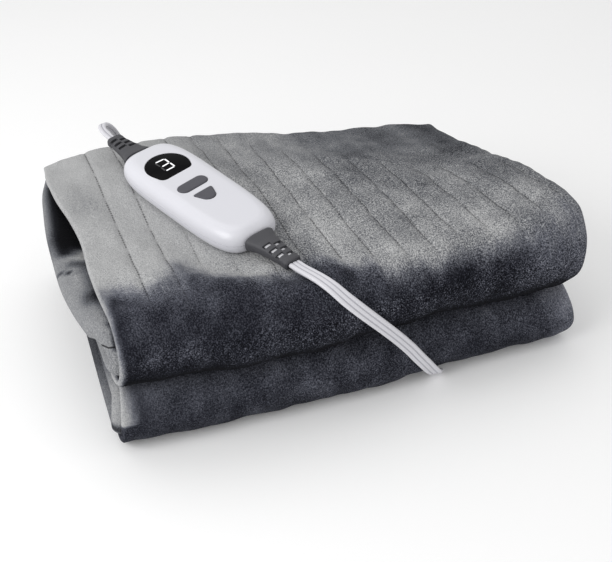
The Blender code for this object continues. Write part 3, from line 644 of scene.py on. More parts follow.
def cloth_faces(thickness):
    """Both faces of the cloth, rows along the strip by columns across, and each point's facts.

    Each point stands off the strip's middle line by its layer's pitches and half a thickness,
    which shrinks as a quarter ellipse at the cut edges. The stack's own bends follow.
    """
    place = strip_places()
    side = {key: through(SIDES["place"], SIDES[key], place) / 1000
            for key in SIDES if key != "place"}
    y, z, out_y, out_z = strip_line(place)
    pitch = PITCH_UPPER + (PITCH_LOWER - PITCH_UPPER) * ease(place, 2.7, 4.3)
    to_end = np.minimum(place, 7 - place) * PASS_RUN
    end_round = np.sqrt(1 - (1 - np.clip(to_end / EDGE_RUN, 0.0, 1.0)) ** 2)
    columns = cloth_columns()
    faces = []
    for way in (1.0, -1.0):
        sheet = []
        for kind, t, fixed in columns:
            x, layer, face_x, face_n = column_shape(kind, t, fixed, side, pitch)
            half = thickness / 2 * np.maximum(end_round, EDGE_LEAST)
            if "hem" in kind:
                half = half * max(EDGE_LEAST, math.sqrt(1 - (1 - t / EDGE_RUN) ** 2))
            reach = layer * pitch + way * half * face_n
            below = 0.0 if kind in ("hem", "flat") else 1.0
            spot = (x + way * half * face_x, y + reach * out_y, z + reach * out_z)
            sheet.append(np.stack(imprinted(*sloped(*slumped(*bowed(*spot), below))), axis=1))
        faces.append(np.array(sheet).transpose(1, 0, 2))
    kinds = np.array([kind for kind, _, _ in columns])
    flat_x = np.stack([column_shape(k, t, f, side, pitch)[0] for k, t, f in columns], axis=1)
    return faces[0], faces[1], place, kinds, flat_x


# How far back each row of stitches can be seen on the top: x and y in metres.
SEAM_STARTS = {
    "x": (-0.19, -0.06, 0.013, 0.034, 0.059, 0.087, 0.110, 0.155, 0.21),
    "y": (0.16, 0.14, 0.083, 0.074, 0.054, 0.030, 0.012, 0.0, -0.02),
}


def seam_facts(x, place, kinds, run):
    """Distance to the nearest row of stitches, and how clearly that row shows.

    The rows stand LINE_PITCH apart. Each starts behind the front as SEAM_STARTS says, and fades
    over the front roll and beside the controller's lower end.
    """
    number = np.round((x - LINE_FIRST) / LINE_PITCH)
    inside = (number >= 0) & (number < LINE_COUNT) & (kinds == "flat")[None, :]
    away = np.where(inside, np.abs(x - LINE_FIRST - number * LINE_PITCH), LINE_PITCH / 2)
    top_y = END_TOP_Y + (ROLL_UPPER_Y - END_TOP_Y) * np.clip(place, 0.0, 1.0)[:, None]
    starts = through(SEAM_STARTS["x"], SEAM_STARTS["y"], x)
    shows = 1.0 - ease(top_y, starts - 0.015, starts + 0.012)
    shows = shows * (1.0 - 0.75 * ease(run, 0.225, 0.262))
    shows = shows * (1.0 - 0.8 * bell(x, -0.092, 0.024) * ease(run, 0.16, 0.20))
    shows = shows * (1.0 - ease(place, 1.35, 1.75) + ease(place, 4.8, 5.0) * 0.3)[:, None]
    return away, np.clip(shows, 0.0, 1.0) * inside


TOP_RUN = 0.243                   # run of the cloth from its free end to the front of the top pass
PLACE_RUN = 0.082                 # and its run for one place over the upper front fold
NAP_REACH = 4.0                   # half widths past which the nap is all of one kind
LIT_EDGE_TONE = 0.60                   # painted light: lightness of the inner hem and of the lower fold's left end, which face the lamp at the left
LIP_PLACE, LIP_X, LIP_SLANT = 1.33, -0.182, 21.0  # where the left edge laps over the cloth below

# The nap is light on top and dark in front: partly its pile, and partly painted light on the top
# and painted shade on the front. Where it turns, in millimetres: x, run past the front of the top
# pass, and half the width of the soft change there.
NAP_BORDER = {
    "x": (-190, -174, -160, -151, -142, -131, -115, -101, -91, -80, -72, -60, -47, -30,
          -17, -12, -4, 12, 16, 33, 47, 76, 91, 112, 126, 138, 150, 210),
    "run": (-18, -21, -19, -14, -15, -23, -32, -26, -17, -12, -6, -12, -9, -15,
            -9, -3, 4, 8, 14, 18, 20, 19, 20, 22, 18, 20, 18, 18),
    "half": (12, 13, 17, 20, 25, 28, 28, 24, 22, 18, 14, 14, 14, 16,
             14, 13, 13, 14, 14, 14, 14, 13, 13, 13, 14, 18, 26, 30),
}

# Patches on the right of the top: strength, then middle and width along x and along the run.
TOP_PATCHES = (
    (-0.07, 0.050, 0.016, -0.130, 0.016),
    (0.05, -0.005, 0.020, -0.040, 0.025),
    (-0.16, -0.026, 0.009, -0.036, 0.016),
)


def past_lip(x, place):
    """Places past the slanting lip of the folded left edge, on the upper front fold."""
    return place - LIP_PLACE - LIP_SLANT * np.minimum(x - LIP_X, 0.0)


def left_end_tones(x, y, place):
    """Tone of the cloth seen at the left end: a lit pale rim, painted shade in the hollow behind
    it, and the folds.

    Bells in x and y add painted light and painted shade to an even tone, and steps in y bound the
    hollow.
    """
    from_rim = x - x.min(axis=1, keepdims=True)
    # Painted shade: darker away from the pale rim, into the hollow under the top layer.
    hollow = 0.52 - 0.50 * ease(from_rim, 0.0, 0.008)
    tone = 0.54 + (hollow - 0.54) * ease(y, -0.022, -0.012)
    # Painted light on the wedge beside the hollow, which the overhang keeps in shadow.
    tone = tone + 1.00 * bell(x, -0.181, 0.006) * bell(y, -0.014, 0.010)
    tone = tone - 0.24 * bell(x, -0.188, 0.006) * bell(y, -0.030, 0.005)
    # Painted shade in the slit of a pucker.
    tone = tone - 0.42 * bell(x, -0.1945, 0.0050) * bell(y + 0.78 * x, -0.1907, 0.0016)
    tone = tone - 0.26 * bell(y, -0.080, 0.009) * ease(x, -0.194, -0.188)
    tone = tone - 0.12 * bell(y, 0.004, 0.016)
    # Painted light under the top layer's overhang, which keeps the lamp off it.
    tone = tone + 0.22 * bell(x, -0.183, 0.005) * bell(y, -0.044, 0.012)
    # Painted shadow along the top layer's hem, on the cloth below it.
    under_hem_shadow = ease(x, x[:, :1] - 0.0012, x[:, :1] + 0.0004)
    tone = tone - 0.30 * under_hem_shadow * (1 - ease(y, -0.020, -0.010)) * (place < 1.35)
    # Painted shadow on the cloth past the lip of the folded left edge.
    lapped_shadow = (past_lip(x, place) > 0.0) & (place < 1.7) & (x < -0.1855)
    tone = np.where(lapped_shadow, 0.28, tone)
    # Painted shade on the left side of the lower layers, under the bulge above them.
    rear = 0.26 + 0.20 * ease(-y, 0.020, 0.090)
    tone = np.where(place > 2.3, np.where(place > 5.7, rear, 0.25), tone)
    # Painted light on the lower fold's left end, which faces the lamp at the left.
    return tone + (LIT_EDGE_TONE - tone) * ease(place, 4.85, 4.98) * (1 - ease(place, 5.48, 5.60))


def lit_top_nap(x, u, run, ahead):
    """Painted light on the nap of the top: even at the left, patchier and darker towards the right
    and the back.

    Bells and steps in x and in the run, over two sizes of waves on the right.
    """
    left = 0.685 - 0.085 * bell(x, -0.166, 0.013) * bell(ahead, -0.150, 0.028)
    right = 0.620 - 0.040 * ease(x, -0.010, 0.050) - 0.06 * ease(x, 0.135, 0.160)
    right = right - (0.030 + 0.040 * ease(x, 0.0, 0.05)) * ease(-ahead, 0.015, 0.080)
    right = right - 0.075 * ease(-ahead, 0.080, 0.160) * ease(x, 0.030, 0.075)
    right = right - 0.03 * ease(-ahead, 0.12, 0.19)
    right = right + 0.035 * waves(u, run, 0.060, 5) + 0.020 * waves(u, run, 0.026, 6)
    for strength, x_middle, x_width, middle, width in TOP_PATCHES:
        right = right + strength * bell(x, x_middle, x_width) * bell(ahead, middle, width)
    return left + (right - left) * ease(x, -0.110, -0.030)


def shaded_front_nap(x, u, run, ahead, place):
    """Painted shade on the nap of the two front rolls: waves, lighter ends, painted shade under the
    upper roll and along the crease, and painted light on the lower roll's top.

    Steps over the place round the rolls lead from the upper one to the lower one.
    """
    low = ease(place, 4.0, 4.6)
    under = ease(place, 1.45, 1.70) * (1 - low)
    upper = 0.212 + 0.034 * waves(u, run, 0.060, 11) + 0.026 * waves(u, run, 0.024, 12)
    upper = upper + 0.10 * bell(x, -0.162, 0.014) * (1 - ease(ahead, 0.000, 0.024))
    upper = upper - 0.045 * ease(x, 0.0, 0.06) - 0.035 * ease(ahead, 0.020, 0.045)
    # Painted shade on the underside of the upper roll.
    upper = upper - (0.045 + 0.075 * (1 - ease(x, -0.13, -0.05))) * under
    upper = upper + 0.19 * ease(x, 0.112, 0.160) * (1 - ease(ahead, 0.045, 0.075))
    lower = 0.250 + 0.028 * waves(u, run, 0.050, 14) + 0.022 * waves(u, run, 0.020, 15)
    lower = lower - 0.04 * ease(place, 5.3, 5.6) + 0.18 * ease(x, 0.150, 0.178)
    lower = lower + 0.07 * bell(x, -0.160, 0.016) * (1 - ease(place, 5.2, 5.5))
    # Painted light on the top of the lower roll, against the shadow of the upper one.
    lower = lower + 0.07 * (1 - ease(place, 5.08, 5.30))
    # Painted shade along the crease between the rolls.
    crease = 0.22 * ease(place, 1.62, 1.76) * (1 - low)
    return upper * (1 - low) + lower * low - crease


def nap_grain(x, ahead, place, smooth):
    """Strength of the fibre grain: least on the hems, and most under the upper roll."""
    at_left = 1 - ease(x, -0.13, -0.02)
    grain = 1.0 - 0.65 * at_left + 0.4 * ease(ahead, -0.060, 0.0) * at_left
    grain = grain * (1 - 0.45 * ease(-ahead, 0.140, 0.190))
    grain = grain * (1 + 0.8 * ease(place, 1.30, 1.50) * (1 - ease(place, 1.80, 1.95)))
    return np.clip(grain * (1 - 0.6 * smooth), 0.25, 1.8)


def nap_fields(x, y, u, run, place, kinds):
    """Attributes of the nap, as arrays of rows along the strip by columns across it.

    They are its lightness before and past the border between the lit top and the shaded front,
    where painted light and painted shade lie over the nap, the place across that border in half
    widths, the strength of the grain, and the signed distance to the shadow line under the folded
    left edge. The hem keeps a pale strip of painted light down the front, which has a border of its
    own, and the smaller of the two places counts.
    """
    place = place[:, None]
    ahead = run - TOP_RUN
    strip = np.where(place > 4.3, (x + 0.1740) / 0.0075, (x + 0.1785) / 0.0038)
    on_front = ease(place, 0.66, 0.86) * (1 - ease(place, 5.45, 5.62))
    strip = strip + 9.0 * (1 - on_front * np.isin(kinds, ("hem", "flat"))[None, :])
    # Painted light on the hem's strip down the front rolls, whose side faces the lamp at the left.
    pale = 1 - ease(strip, 0.0, 3.0)
    before = lit_top_nap(x, u, run, ahead)
    before = before + (0.66 - before) * pale
    edge = through(NAP_BORDER["x"], NAP_BORDER["run"], x * 1000) / 1000
    half = through(NAP_BORDER["x"], NAP_BORDER["half"], x * 1000) / 1000
    across = np.minimum(np.clip((ahead - edge) / half, -NAP_REACH, NAP_REACH), strip)
    left = np.isin(kinds, ("loop", "ply_b", "ply_c"))[None, :] & (x < -0.12)
    inner = np.isin(kinds, ("inner_hem", "ply_d"))[None, :] & (x < -0.12)
    aside = np.where(left, left_end_tones(x, y, place), LIT_EDGE_TONE)
    before = np.where(left | inner, aside, before)
    across = np.where(left | inner, -NAP_REACH, across)
    grain = nap_grain(x, ahead, place, np.maximum(pale, left | inner))
    shade = np.where(left & (place < 1.9), past_lip(x, place) * PLACE_RUN, 0.02)
    return before, shaded_front_nap(x, u, run, ahead, place), across, grain, shade


COOL_CAST = (0.98, 0.99, 1.10)    # what the dark nap's colour is multiplied by
LINE_SHADE = (0.012, 0.012, 0.013)  # stitches, painted shade along their grooves, and the painted shadow line under the left edge
STITCH_LENGTH = 0.0017


def plush(settings):
    """Plush nap: light or dark with painted light and shade, a soft ragged border, tufts and a fine
    fibre grain.

    A lightness from the mesh's attributes, with noises added, runs through a ramp of the nap's
    colours. Stitches with painted shade along their grooves, and a painted shadow line under the
    left edge, are mixed over it as dark lines.
    """
    finish = Finish("plush_nap", roughness=0.95)
    finish.set("Sheen Weight", 0.02)
    finish.set("Sheen Roughness", 0.40)
    finish.set("Specular IOR Level", 0.02)
    broad = finish.noise(42.0, 4.0, 0.6)
    streak = finish.noise(46.0, 3.0, 0.6, stretch=(3.2, 1.0, 1.0))
    tuft = finish.noise(300.0, 3.0, 0.7)
    fibre = finish.noise(980.0, 1.0, 0.6, stretch=(1.15, 0.8, 1.0))
    cell = finish.add("ShaderNodeTexVoronoi", {}, {"Vector": finish.place, "Scale": 34.0})
    lint = 1.0 - finish.step(cell, 0.016, 0.034)
    border = finish.field("nap_across") + (broad - 0.5) * 1.3 + (streak - 0.5) * 1.1
    past = finish.step(border, -1.0, 1.0)
    lean = finish.field("nap_before") * (1.0 - past) + finish.field("nap_past") * past
    ragged = (broad - 0.5) * 0.05 + (streak - 0.5) * 0.07
    speckle = (tuft - 0.5) * 0.12 + (fibre - 0.5) * (1.05 - 0.35 * past)
    lean = lean + ragged + speckle * finish.field("grain") + lint * past * 0.30
    dark, middle, light = (np.array(c) for c in (settings.dark, settings.middle, settings.light))
    colour = finish.add("ShaderNodeValToRGB", {"stops": (
        (0.0, dark * 0.30), (0.16, dark), (0.28, dark * 0.68 + middle * 0.32), (0.42, middle),
        (0.56, middle * 0.54 + light * 0.46), (0.68, light), (0.85, light * 1.45))},
        {"Fac": lean.clamped()})
    colour = finish.mix(past, colour, COOL_CAST, "MULTIPLY")
    seam = finish.field("seam_off")
    dash = finish.add("ShaderNodeMath", {"operation": "PINGPONG"},
                      {0: finish.field("seam_run"), 1: STITCH_LENGTH})
    thread = (1.0 - finish.step(seam, 0.0002, 0.0008)) * finish.step(dash, 0.0002, 0.0006)
    thread = thread * finish.step(finish.noise(75.0, 1.0), 0.32, 0.52)
    # Painted shade in the groove that the stitches draw in.
    groove_shade = (1.0 - finish.step(seam, 0.0005, 0.0020)) * 0.12
    line = (thread * 0.75 + groove_shade) * finish.field("seam_on")
    # Painted shadow line under the lip of the folded left edge.
    shade = finish.field("shade_off")
    crease = finish.step(shade, -0.0016, -0.0004) * (1.0 - finish.step(shade, 0.0002, 0.0010))
    finish.set("Base Color", finish.mix(line * 0.8 + crease * 0.9, colour, LINE_SHADE))
    height = fibre * 0.5 + tuft * 0.7 + broad * 0.5
    finish.set("Normal", finish.bump(height, 0.0014, 0.8))
    return finish.material


STITCH_PULL = 0.0022              # how far to each side a row of stitches draws the cloth in


def cloth_relief(settings, x, u, run, place, kinds, seams, free):
    """How far the cloth's face stands out.

    A bell draws it in along each row of stitches, a parabola swells it between the rows, and
    soft waves lie over all. What lies on the cloth, and the cloth itself, press it flat.
    """
    away, shows = seams
    drawn = np.exp(-(away / STITCH_PULL) ** 2)
    swell = 1.0 - (1.0 - np.clip(2 * away / LINE_PITCH, 0.0, 1.0)) ** 2
    relief = shows * (-settings.stitch_depth * drawn + 0.0004 * swell) * (0.35 + 0.65 * free)
    relief += settings.ripple * (waves(u, run, 0.055, 21) + 0.45 * waves(u, run, 0.024, 22)) * free
    hidden = ((place > 2.1) & (place < 2.9)) | ((place > 4.1) & (place < 4.9)) | (place > 6.2)
    relief = relief * (1.0 - 0.8 * hidden)[:, None]
    return relief * ease(np.abs(x + 0.18) + (kinds == "flat")[None, :] * 0.01, 0.0, 0.012)


def sheet_quads(rows, cols):
    """Faces of a closed sheet whose rows run out over one face and back over the other."""
    c = np.arange(cols // 2 - 1)
    cap = np.stack([c, c + 1, cols - 2 - c, cols - 1 - c], axis=1)
    last = cap + (rows - 1) * cols
    return np.concatenate([grid_faces(rows, cols, wrap_cols=True), cap[:, ::-1], last])


def make_cloth(settings):
    """One closed sheet: its two faces, joined along the four cut edges."""
    outer, inner, place, kinds, flat_x = cloth_faces(settings.thickness)
    step_u = np.linalg.norm(np.diff(outer, axis=1), axis=2)
    u = np.concatenate([np.zeros((len(place), 1)), np.cumsum(step_u, axis=1)], axis=1) - 0.18
    step_v = np.linalg.norm(np.diff(outer.mean(axis=1), axis=0), axis=1)
    run = np.concatenate([[0.0], np.cumsum(step_v)])[:, None] + 0 * u
    seams = seam_facts(flat_x, place, kinds, run)
    held = press(outer[..., 0], outer[..., 1])
    free = 1.0 - np.maximum(held[1], held[3]) * (place < 1.05)[:, None]
    relief = cloth_relief(settings, flat_x, u, run, place, kinds, seams, free)
    normal = sheet_normals(outer)
    normal *= np.sign(np.einsum("ijk,ijk->ij", normal, outer - inner))[..., None]
    outer = outer + normal * relief[..., None]
    outer[..., 2] = np.maximum(outer[..., 2], 0.0)
    inner[..., 2] = np.maximum(inner[..., 2], 0.0002)
    before, past, across, grain, shade = nap_fields(flat_x, outer[..., 1], u, run, place, kinds)
    fields = {"nap_before": before, "nap_past": past, "nap_across": across, "grain": grain,
              "shade_off": shade, "seam_off": seams[0], "seam_on": seams[1], "seam_run": run}
    fields = {key: np.concatenate([f, f[:, ::-1]], axis=1) for key, f in fields.items()}
    ring = np.concatenate([outer, inner[:, ::-1]], axis=1)
    quads = sheet_quads(*ring.shape[:2])
    cloth = new_piece("folded_cloth", settled(ring.reshape(-1, 3)), quads, [], plush(settings),
                      replaces=["blanket"], slot="plush", smooth_angle=75.0, fields=fields)
    return cloth


# ---------------------------------------------------------------- the controller

def pad_outline(inset, z, sides=160):
    """A superellipse ring of the controller, drawn in by inset, at height z."""
    angle = 2 * np.pi * (np.arange(sides) + 0.5) / sides
    c, s = np.cos(angle), np.sin(angle)
    x = (PAD_LENGTH / 2 - inset) * np.sign(c) * np.abs(c) ** (2 / PAD_SQUARENESS)
    y = (PAD_WIDTH / 2 - inset) * np.sign(s) * np.abs(s) ** (2 / PAD_SQUARENESS)
    ring = np.stack([x, y * (1 - PAD_TAPER * x / (PAD_LENGTH / 2)), np.full(sides, z)], axis=1)
    return even_ring(ring, sides)


def even_ring(ring, count):
    """The same closed outline with its points at equal distances."""
    closed = np.concatenate([ring, ring[:1]])
    run = np.concatenate([[0.0], np.cumsum(np.linalg.norm(np.diff(closed, axis=0), axis=1))])
    at = np.linspace(0.0, run[-1], count, endpoint=False)
    return np.stack([np.interp(at, run, closed[:, k]) for k in range(3)], axis=1)


def hull_outline(circles, inset=0.0, count=96):
    """Outline round a convex row of circles (x, y, radius), drawn in by inset.

    Arcs between the points where the common tangents touch, and straight lines between them.
    """
    ring = []
    for i, (x, y, radius) in enumerate(circles):
        start = tangent_angle(circles[i - 1], circles[i])
        end = tangent_angle(circles[i], circles[(i + 1) % len(circles)])
        while end < start:
            end += 2 * math.pi
        angle, reach = np.linspace(start, end, 30), radius - inset
        arc = [x + reach * np.cos(angle), y + reach * np.sin(angle), 0 * angle]
        ring.append(np.stack(arc, axis=1))
    return even_ring(np.concatenate(ring), count)


def tangent_angle(first, second):
    """Direction of the outer normal of the line that touches two circles."""
    dx, dy = second[0] - first[0], second[1] - first[1]
    lean = math.acos((first[2] - second[2]) / math.hypot(dx, dy))
    return math.atan2(dy, dx) - lean


def plate(circles, levels):
    """Points and faces of a plate with the outline of a row of circles, through (inset, z)."""
    return loft([hull_outline(circles, inset) + (0.0, 0.0, z) for inset, z in levels])


def carve(target, shapes):
    """Cut closed shapes, in the controller's frame, out of a piece and keep the result."""
    cutters = []
    for number, (points, quads, triangles) in enumerate(shapes):
        mesh = bpy.data.meshes.new(f"cutter_{number}")
        faces = [tuple(map(int, f)) for f in quads] + [tuple(map(int, f)) for f in triangles]
        mesh.from_pydata([tuple(p) for p in on_pad(points)], [], faces)
        mesh.update()
        cutter = bpy.data.objects.new(f"cutter_{number}", mesh)
        bpy.context.scene.collection.objects.link(cutter)
        boolean = target.modifiers.new(f"cut_{number}", "BOOLEAN")
        boolean.operation = "DIFFERENCE"
        boolean.solver = "EXACT"
        boolean.object = cutter
        cutters.append(cutter)
    graph = bpy.context.evaluated_depsgraph_get()
    carved = bpy.data.meshes.new_from_object(target.evaluated_get(graph), depsgraph=graph)
    target.modifiers.clear()
    target.data = carved
    target.data.shade_smooth()
    target.data.set_sharp_from_angle(angle=math.radians(32.0))
    for cutter in cutters:
        bpy.data.objects.remove(cutter)


# The shells from the bottom up: how far the outline is drawn in, and the height.
LOWER_SHELL = (
    (0.0095, 0.0), (0.0060, 0.0001), (0.0030, 0.0009), (0.0011, 0.0029), (0.0002, 0.0057),
    (0.0, 0.0085), (0.0002, PAD_SPLIT))
UPPER_SHELL = (
    (0.0002, PAD_SPLIT + GAP), (0.0, 0.0094), (0.0005, 0.0119), (0.0015, 0.0144),
    (0.0032, 0.0167), (0.0058, 0.0187), (0.0082, 0.0196), (0.0110, PAD_HEIGHT),
    (0.0200, PAD_HEIGHT))
WINDOW_DEPTH, BUTTON_DEPTH = 0.0016, 0.0043  # floors of the openings, from the controller's top
OPENING_GAP, OPENING_FLARE = 0.00028, 0.0009  # how far they reach past the outlines, and at the rim


def pad_shell(name, levels, plastic, node, slot):
    """One shell: superellipses whose inset and height follow a smooth curve through the levels."""
    stations = np.arange(len(levels), dtype=float)
    fine = np.linspace(0.0, stations[-1], 4 * (len(levels) - 1) + 1)
    insets, heights = through(stations, levels, fine).T
    heights = np.clip(heights, levels[0][1], levels[-1][1])
    points, quads, triangles = loft([pad_outline(inset, z) for inset, z in zip(insets, heights)])
    return new_piece(name, on_pad(points), quads, triangles, plastic, replaces=[node], slot=slot)


def make_shells(settings):
    """The two shells of the controller, with a fine dark joint between them.

    The upper one is cut open for the window and the buttons.
    """
    plastic = moulded_plastic("shell_plastic", settings.shell, 0.34, coat=0.15)
    pad_shell("lower_shell", LOWER_SHELL, plastic, "controller_base", "shell_white")
    upper = pad_shell("upper_shell", UPPER_SHELL, plastic, "controller_cover", "cover_white")
    rim, above = PAD_HEIGHT - 0.0003, PAD_HEIGHT + 0.002
    openings = ((WINDOW, WINDOW_DEPTH), (PILL, BUTTON_DEPTH), (ARROW, BUTTON_DEPTH))
    carve(upper, [plate(outline, ((-OPENING_GAP, PAD_HEIGHT - depth), (-OPENING_GAP, rim),
                                  (-OPENING_FLARE, above))) for outline, depth in openings])


# Segments of the digit: first and last end in the controller's x and y, in millimetres.
LIT = (((-44.9, -6.3), (-44.9, 1.9)), ((-44.7, 2.3), (-38.2, 2.3)), ((-37.8, 1.9), (-37.0, -5.4)),
       ((-37.2, 2.3), (-30.8, 2.3)), ((-30.6, 1.9), (-30.2, -6.3)))
UNLIT = (((-44.6, -6.9), (-38.0, -6.5)), ((-37.0, -6.5), (-30.8, -6.9)))
SEGMENT_WIDTH = 0.0013


def bar(first, last, width, low, high):
    """A flat six-sided segment between two points, pointed at both ends."""
    a, b = Vector((*first, 0)) / 1000, Vector((*last, 0)) / 1000
    along = (b - a).normalized()
    side = Vector((-along.y, along.x, 0)) * width / 2
    inset = along * width / 2
    ring = [a, a + inset + side, b - inset + side, b, b - inset - side, a + inset - side]
    return loft([[(p.x, p.y, low) for p in ring], [(p.x, p.y, high) for p in ring]])


def joined(parts):
    """Several closed bodies as one set of points and faces."""
    points, quads, triangles, count = [], [], [], 0
    for p, q, t in parts:
        points.append(p)
        quads.append(np.asarray(q) + count)
        triangles.append(np.asarray(t) + count)
        count += len(p)
    return np.concatenate(points), np.concatenate(quads), np.concatenate(triangles)


def make_display(settings):
    """Black display window with one seven-segment digit, lit and unlit bars."""
    glass = Finish("display_glass")
    smudge = glass.noise(120.0, 3.0)
    glass.set("Base Color", glass.mix(smudge, (0.003, 0.003, 0.0035), (0.005, 0.005, 0.006)))
    glass.set("Roughness", 0.10 + smudge * 0.08)
    glass.set("Specular IOR Level", 0.03)
    floor = PAD_HEIGHT - WINDOW_DEPTH + GAP
    levels = ((0.0, floor), (0.0, PAD_HEIGHT - 0.0002), (0.00012, PAD_HEIGHT),
              (0.0005, PAD_HEIGHT + 0.0001))
    points, quads, triangles = plate(WINDOW, levels)
    new_piece("display", on_pad(points), quads, triangles, glass.material,
              replaces=["display_window"], slot="display_black")
    lit = Finish("digit_lit", roughness=0.4)
    faded = [c * 0.9 for c in settings.digit]
    lit.set("Base Color", lit.mix(lit.noise(400.0), settings.digit, faded))
    lit.set("Emission Color", tuple(settings.digit))
    lit.set("Emission Strength", 0.35)
    unlit = Finish("digit_unlit", roughness=0.3)
    darkest, dark = (0.020, 0.020, 0.022), (0.028, 0.028, 0.031)
    unlit.set("Base Color", unlit.mix(unlit.noise(400.0), darkest, dark))
    low, high = PAD_HEIGHT + 0.00005, PAD_HEIGHT + 0.00016
    for name, rows, finish in (("digit_bars", LIT, lit), ("digit_unlit_bars", UNLIT, unlit)):
        points, quads, triangles = joined([bar(a, b, SEGMENT_WIDTH, low, high) for a, b in rows])
        new_piece(name, on_pad(points), quads, triangles, finish.material, slot="display_black")


def make_buttons(settings):
    """The pill and the arrow button, softly domed, each on its own body."""
    rubber = Finish("button_rubber", roughness=0.62)
    cloud = rubber.noise(160.0, 3.0)
    worn = [c * 0.85 for c in settings.rubber]
    rubber.set("Base Color", rubber.mix(cloud * 0.5, settings.rubber, worn))
    rubber.set("Roughness", 0.56 + cloud * 0.14)
    rubber.set("Normal", rubber.bump(rubber.noise(1800.0), 0.00003))
    top = PAD_HEIGHT + 0.0010
    levels = (
        (0.0, PAD_HEIGHT - 0.0030), (0.0, PAD_HEIGHT + 0.0002), (0.00008, top - 0.00055),
        (0.0003, top - 0.00030), (0.0007, top - 0.00013), (0.0015, top - 0.00003), (0.0026, top))
    for name, circles, body, node in (("pill_cap", PILL, "pill", "pill_button"),
                                      ("arrow_cap", ARROW, "arrow", "arrow_button")):
        limit = min(c[2] for c in circles) * 0.92
        points, quads, triangles = plate(circles, [(min(i, limit), z) for i, z in levels])
        new_piece(name, on_pad(points), quads, triangles, rubber.material, body=body,
                  replaces=[node], slot="button_grey", smooth_angle=50.0)


# Strain relief: distance from its root, half width and half height, in millimetres.
RELIEF_SECTIONS = (
    (0.0, 12.6, 6.0), (1.2, 13.0, 6.2), (3.5, 12.2, 5.8), (8.0, 10.2, 5.1), (16.0, 8.6, 4.6),
    (27.0, 7.3, 4.2), (31.5, 6.9, 4.0), (32.3, 7.3, 4.3), (35.6, 7.2, 4.2), (36.6, 6.4, 3.6))
# Each relief: piece, CAD node, end of the controller, how far across its axis is, and length.
RELIEFS = (("upper_relief", "relief_mains", -1, -0.0030, 0.0366),
           ("lower_relief", "relief_lead", 1, -0.0007, 0.0393))
# Rows of slots: how far across, and how far from the root each slot stands. Then the sections
# of the shape that cuts one: along the relief, and half its width there.
SLOT_ROWS = ((0.0040, (0.0168, 0.0234, 0.0300)), (-0.0040, (0.0140, 0.0206, 0.0272)))
SLOT_ALONG, SLOT_HALF = (-0.0017, -0.0015, 0.0015, 0.0017), (0.0034, 0.0036, 0.0036, 0.0034)
SLOT_HALF_DEPTH = 0.0022
RELIEF_SKIN = 0.0017              # from the relief's face to the lining


def rounded_section(x, half_width, half_height, sides=48, power=0.62):
    """Rounded rectangles across the x direction, one for each x, as superellipses."""
    angle = 2 * np.pi * (np.arange(sides) + 0.5) / sides
    c, s = np.cos(angle), np.sin(angle)
    ring = [0 * c, np.sign(c) * np.abs(c) ** power, np.sign(s) * np.abs(s) ** power]
    ring = np.stack(ring, axis=1)
    scale = np.stack([0 * x, half_width, half_height], axis=1)
    rings = ring[None] * scale[:, None]
    rings[..., 0] += x[:, None]
    return rings


def relief_place(points, end, y):
    """From a relief's own frame, root at its origin, to the controller's frame."""
    points = np.asarray(points, float) * (end, end, 1.0)
    return points + (end * RELIEF_START, y, RELIEF_AXIS_Z)


def relief_slots(table, scale, end, y):
    """Shapes that cut the slots on both faces of a relief, each just through its skin."""
    slots = []
    for across, starts in SLOT_ROWS:
        for start in starts:
            height = float(np.interp(start, table[:, 0], table[:, 2]))
            for side in (1, -1):
                x = start * scale + np.array(SLOT_ALONG)
                depth = np.full(len(x), SLOT_HALF_DEPTH)
                rings = rounded_section(x, np.array(SLOT_HALF), depth, 24, 0.45)
                rings += (0.0, across, side * (height - 0.0002))
                points, quads, triangles = loft(rings)
                slots.append((relief_place(points, end, y), quads, triangles))
    return slots


def make_reliefs(settings):
    """Two slotted strain reliefs. A pale lining stands for the lead inside the lower one.

    Rounded rectangles along the relief's axis, whose sizes are read off RELIEF_SECTIONS.
    """
    rubber = Finish("relief_rubber", roughness=0.6)
    cloud = rubber.noise(110.0, 3.0)
    worn = [c * 0.82 for c in settings.relief]
    rubber.set("Base Color", rubber.mix(cloud, settings.relief, worn))
    rubber.set("Roughness", 0.52 + cloud * 0.16)
    rubber.set("Normal", rubber.bump(rubber.noise(1500.0), 0.00004))
    table = np.array(RELIEF_SECTIONS) / 1000
    at = np.concatenate([np.linspace(0.0, table[-1, 0], 60), table[:, 0]])
    at = np.unique(np.round(at, 5))
    half_width, half_height = (np.interp(at, table[:, 0], table[:, k]) for k in (1, 2))
    for name, node, end, y, length in RELIEFS:
        scale = length / table[-1, 0]
        points, quads, triangles = loft(rounded_section(at * scale, half_width, half_height))
        relief = new_piece(name, on_pad(relief_place(points, end, y)), quads, triangles,
                           rubber.material, replaces=[node], slot="relief_grey")
        carve(relief, relief_slots(table, scale, end, y))
        if node == "relief_lead":
            core = np.interp(at, (0.010, 0.030), (0.0064, 0.0052))
            points, quads, triangles = loft(
                rounded_section(at[3:-3] * scale, core[3:-3], half_height[3:-3] - RELIEF_SKIN))
            new_piece("relief_lining", on_pad(relief_place(points, end, y)), quads, triangles,
                      moulded_plastic("lining_plastic", settings.lining, 0.45), slot="cord_white")


# ---------------------------------------------------------------- leads, coil and plug

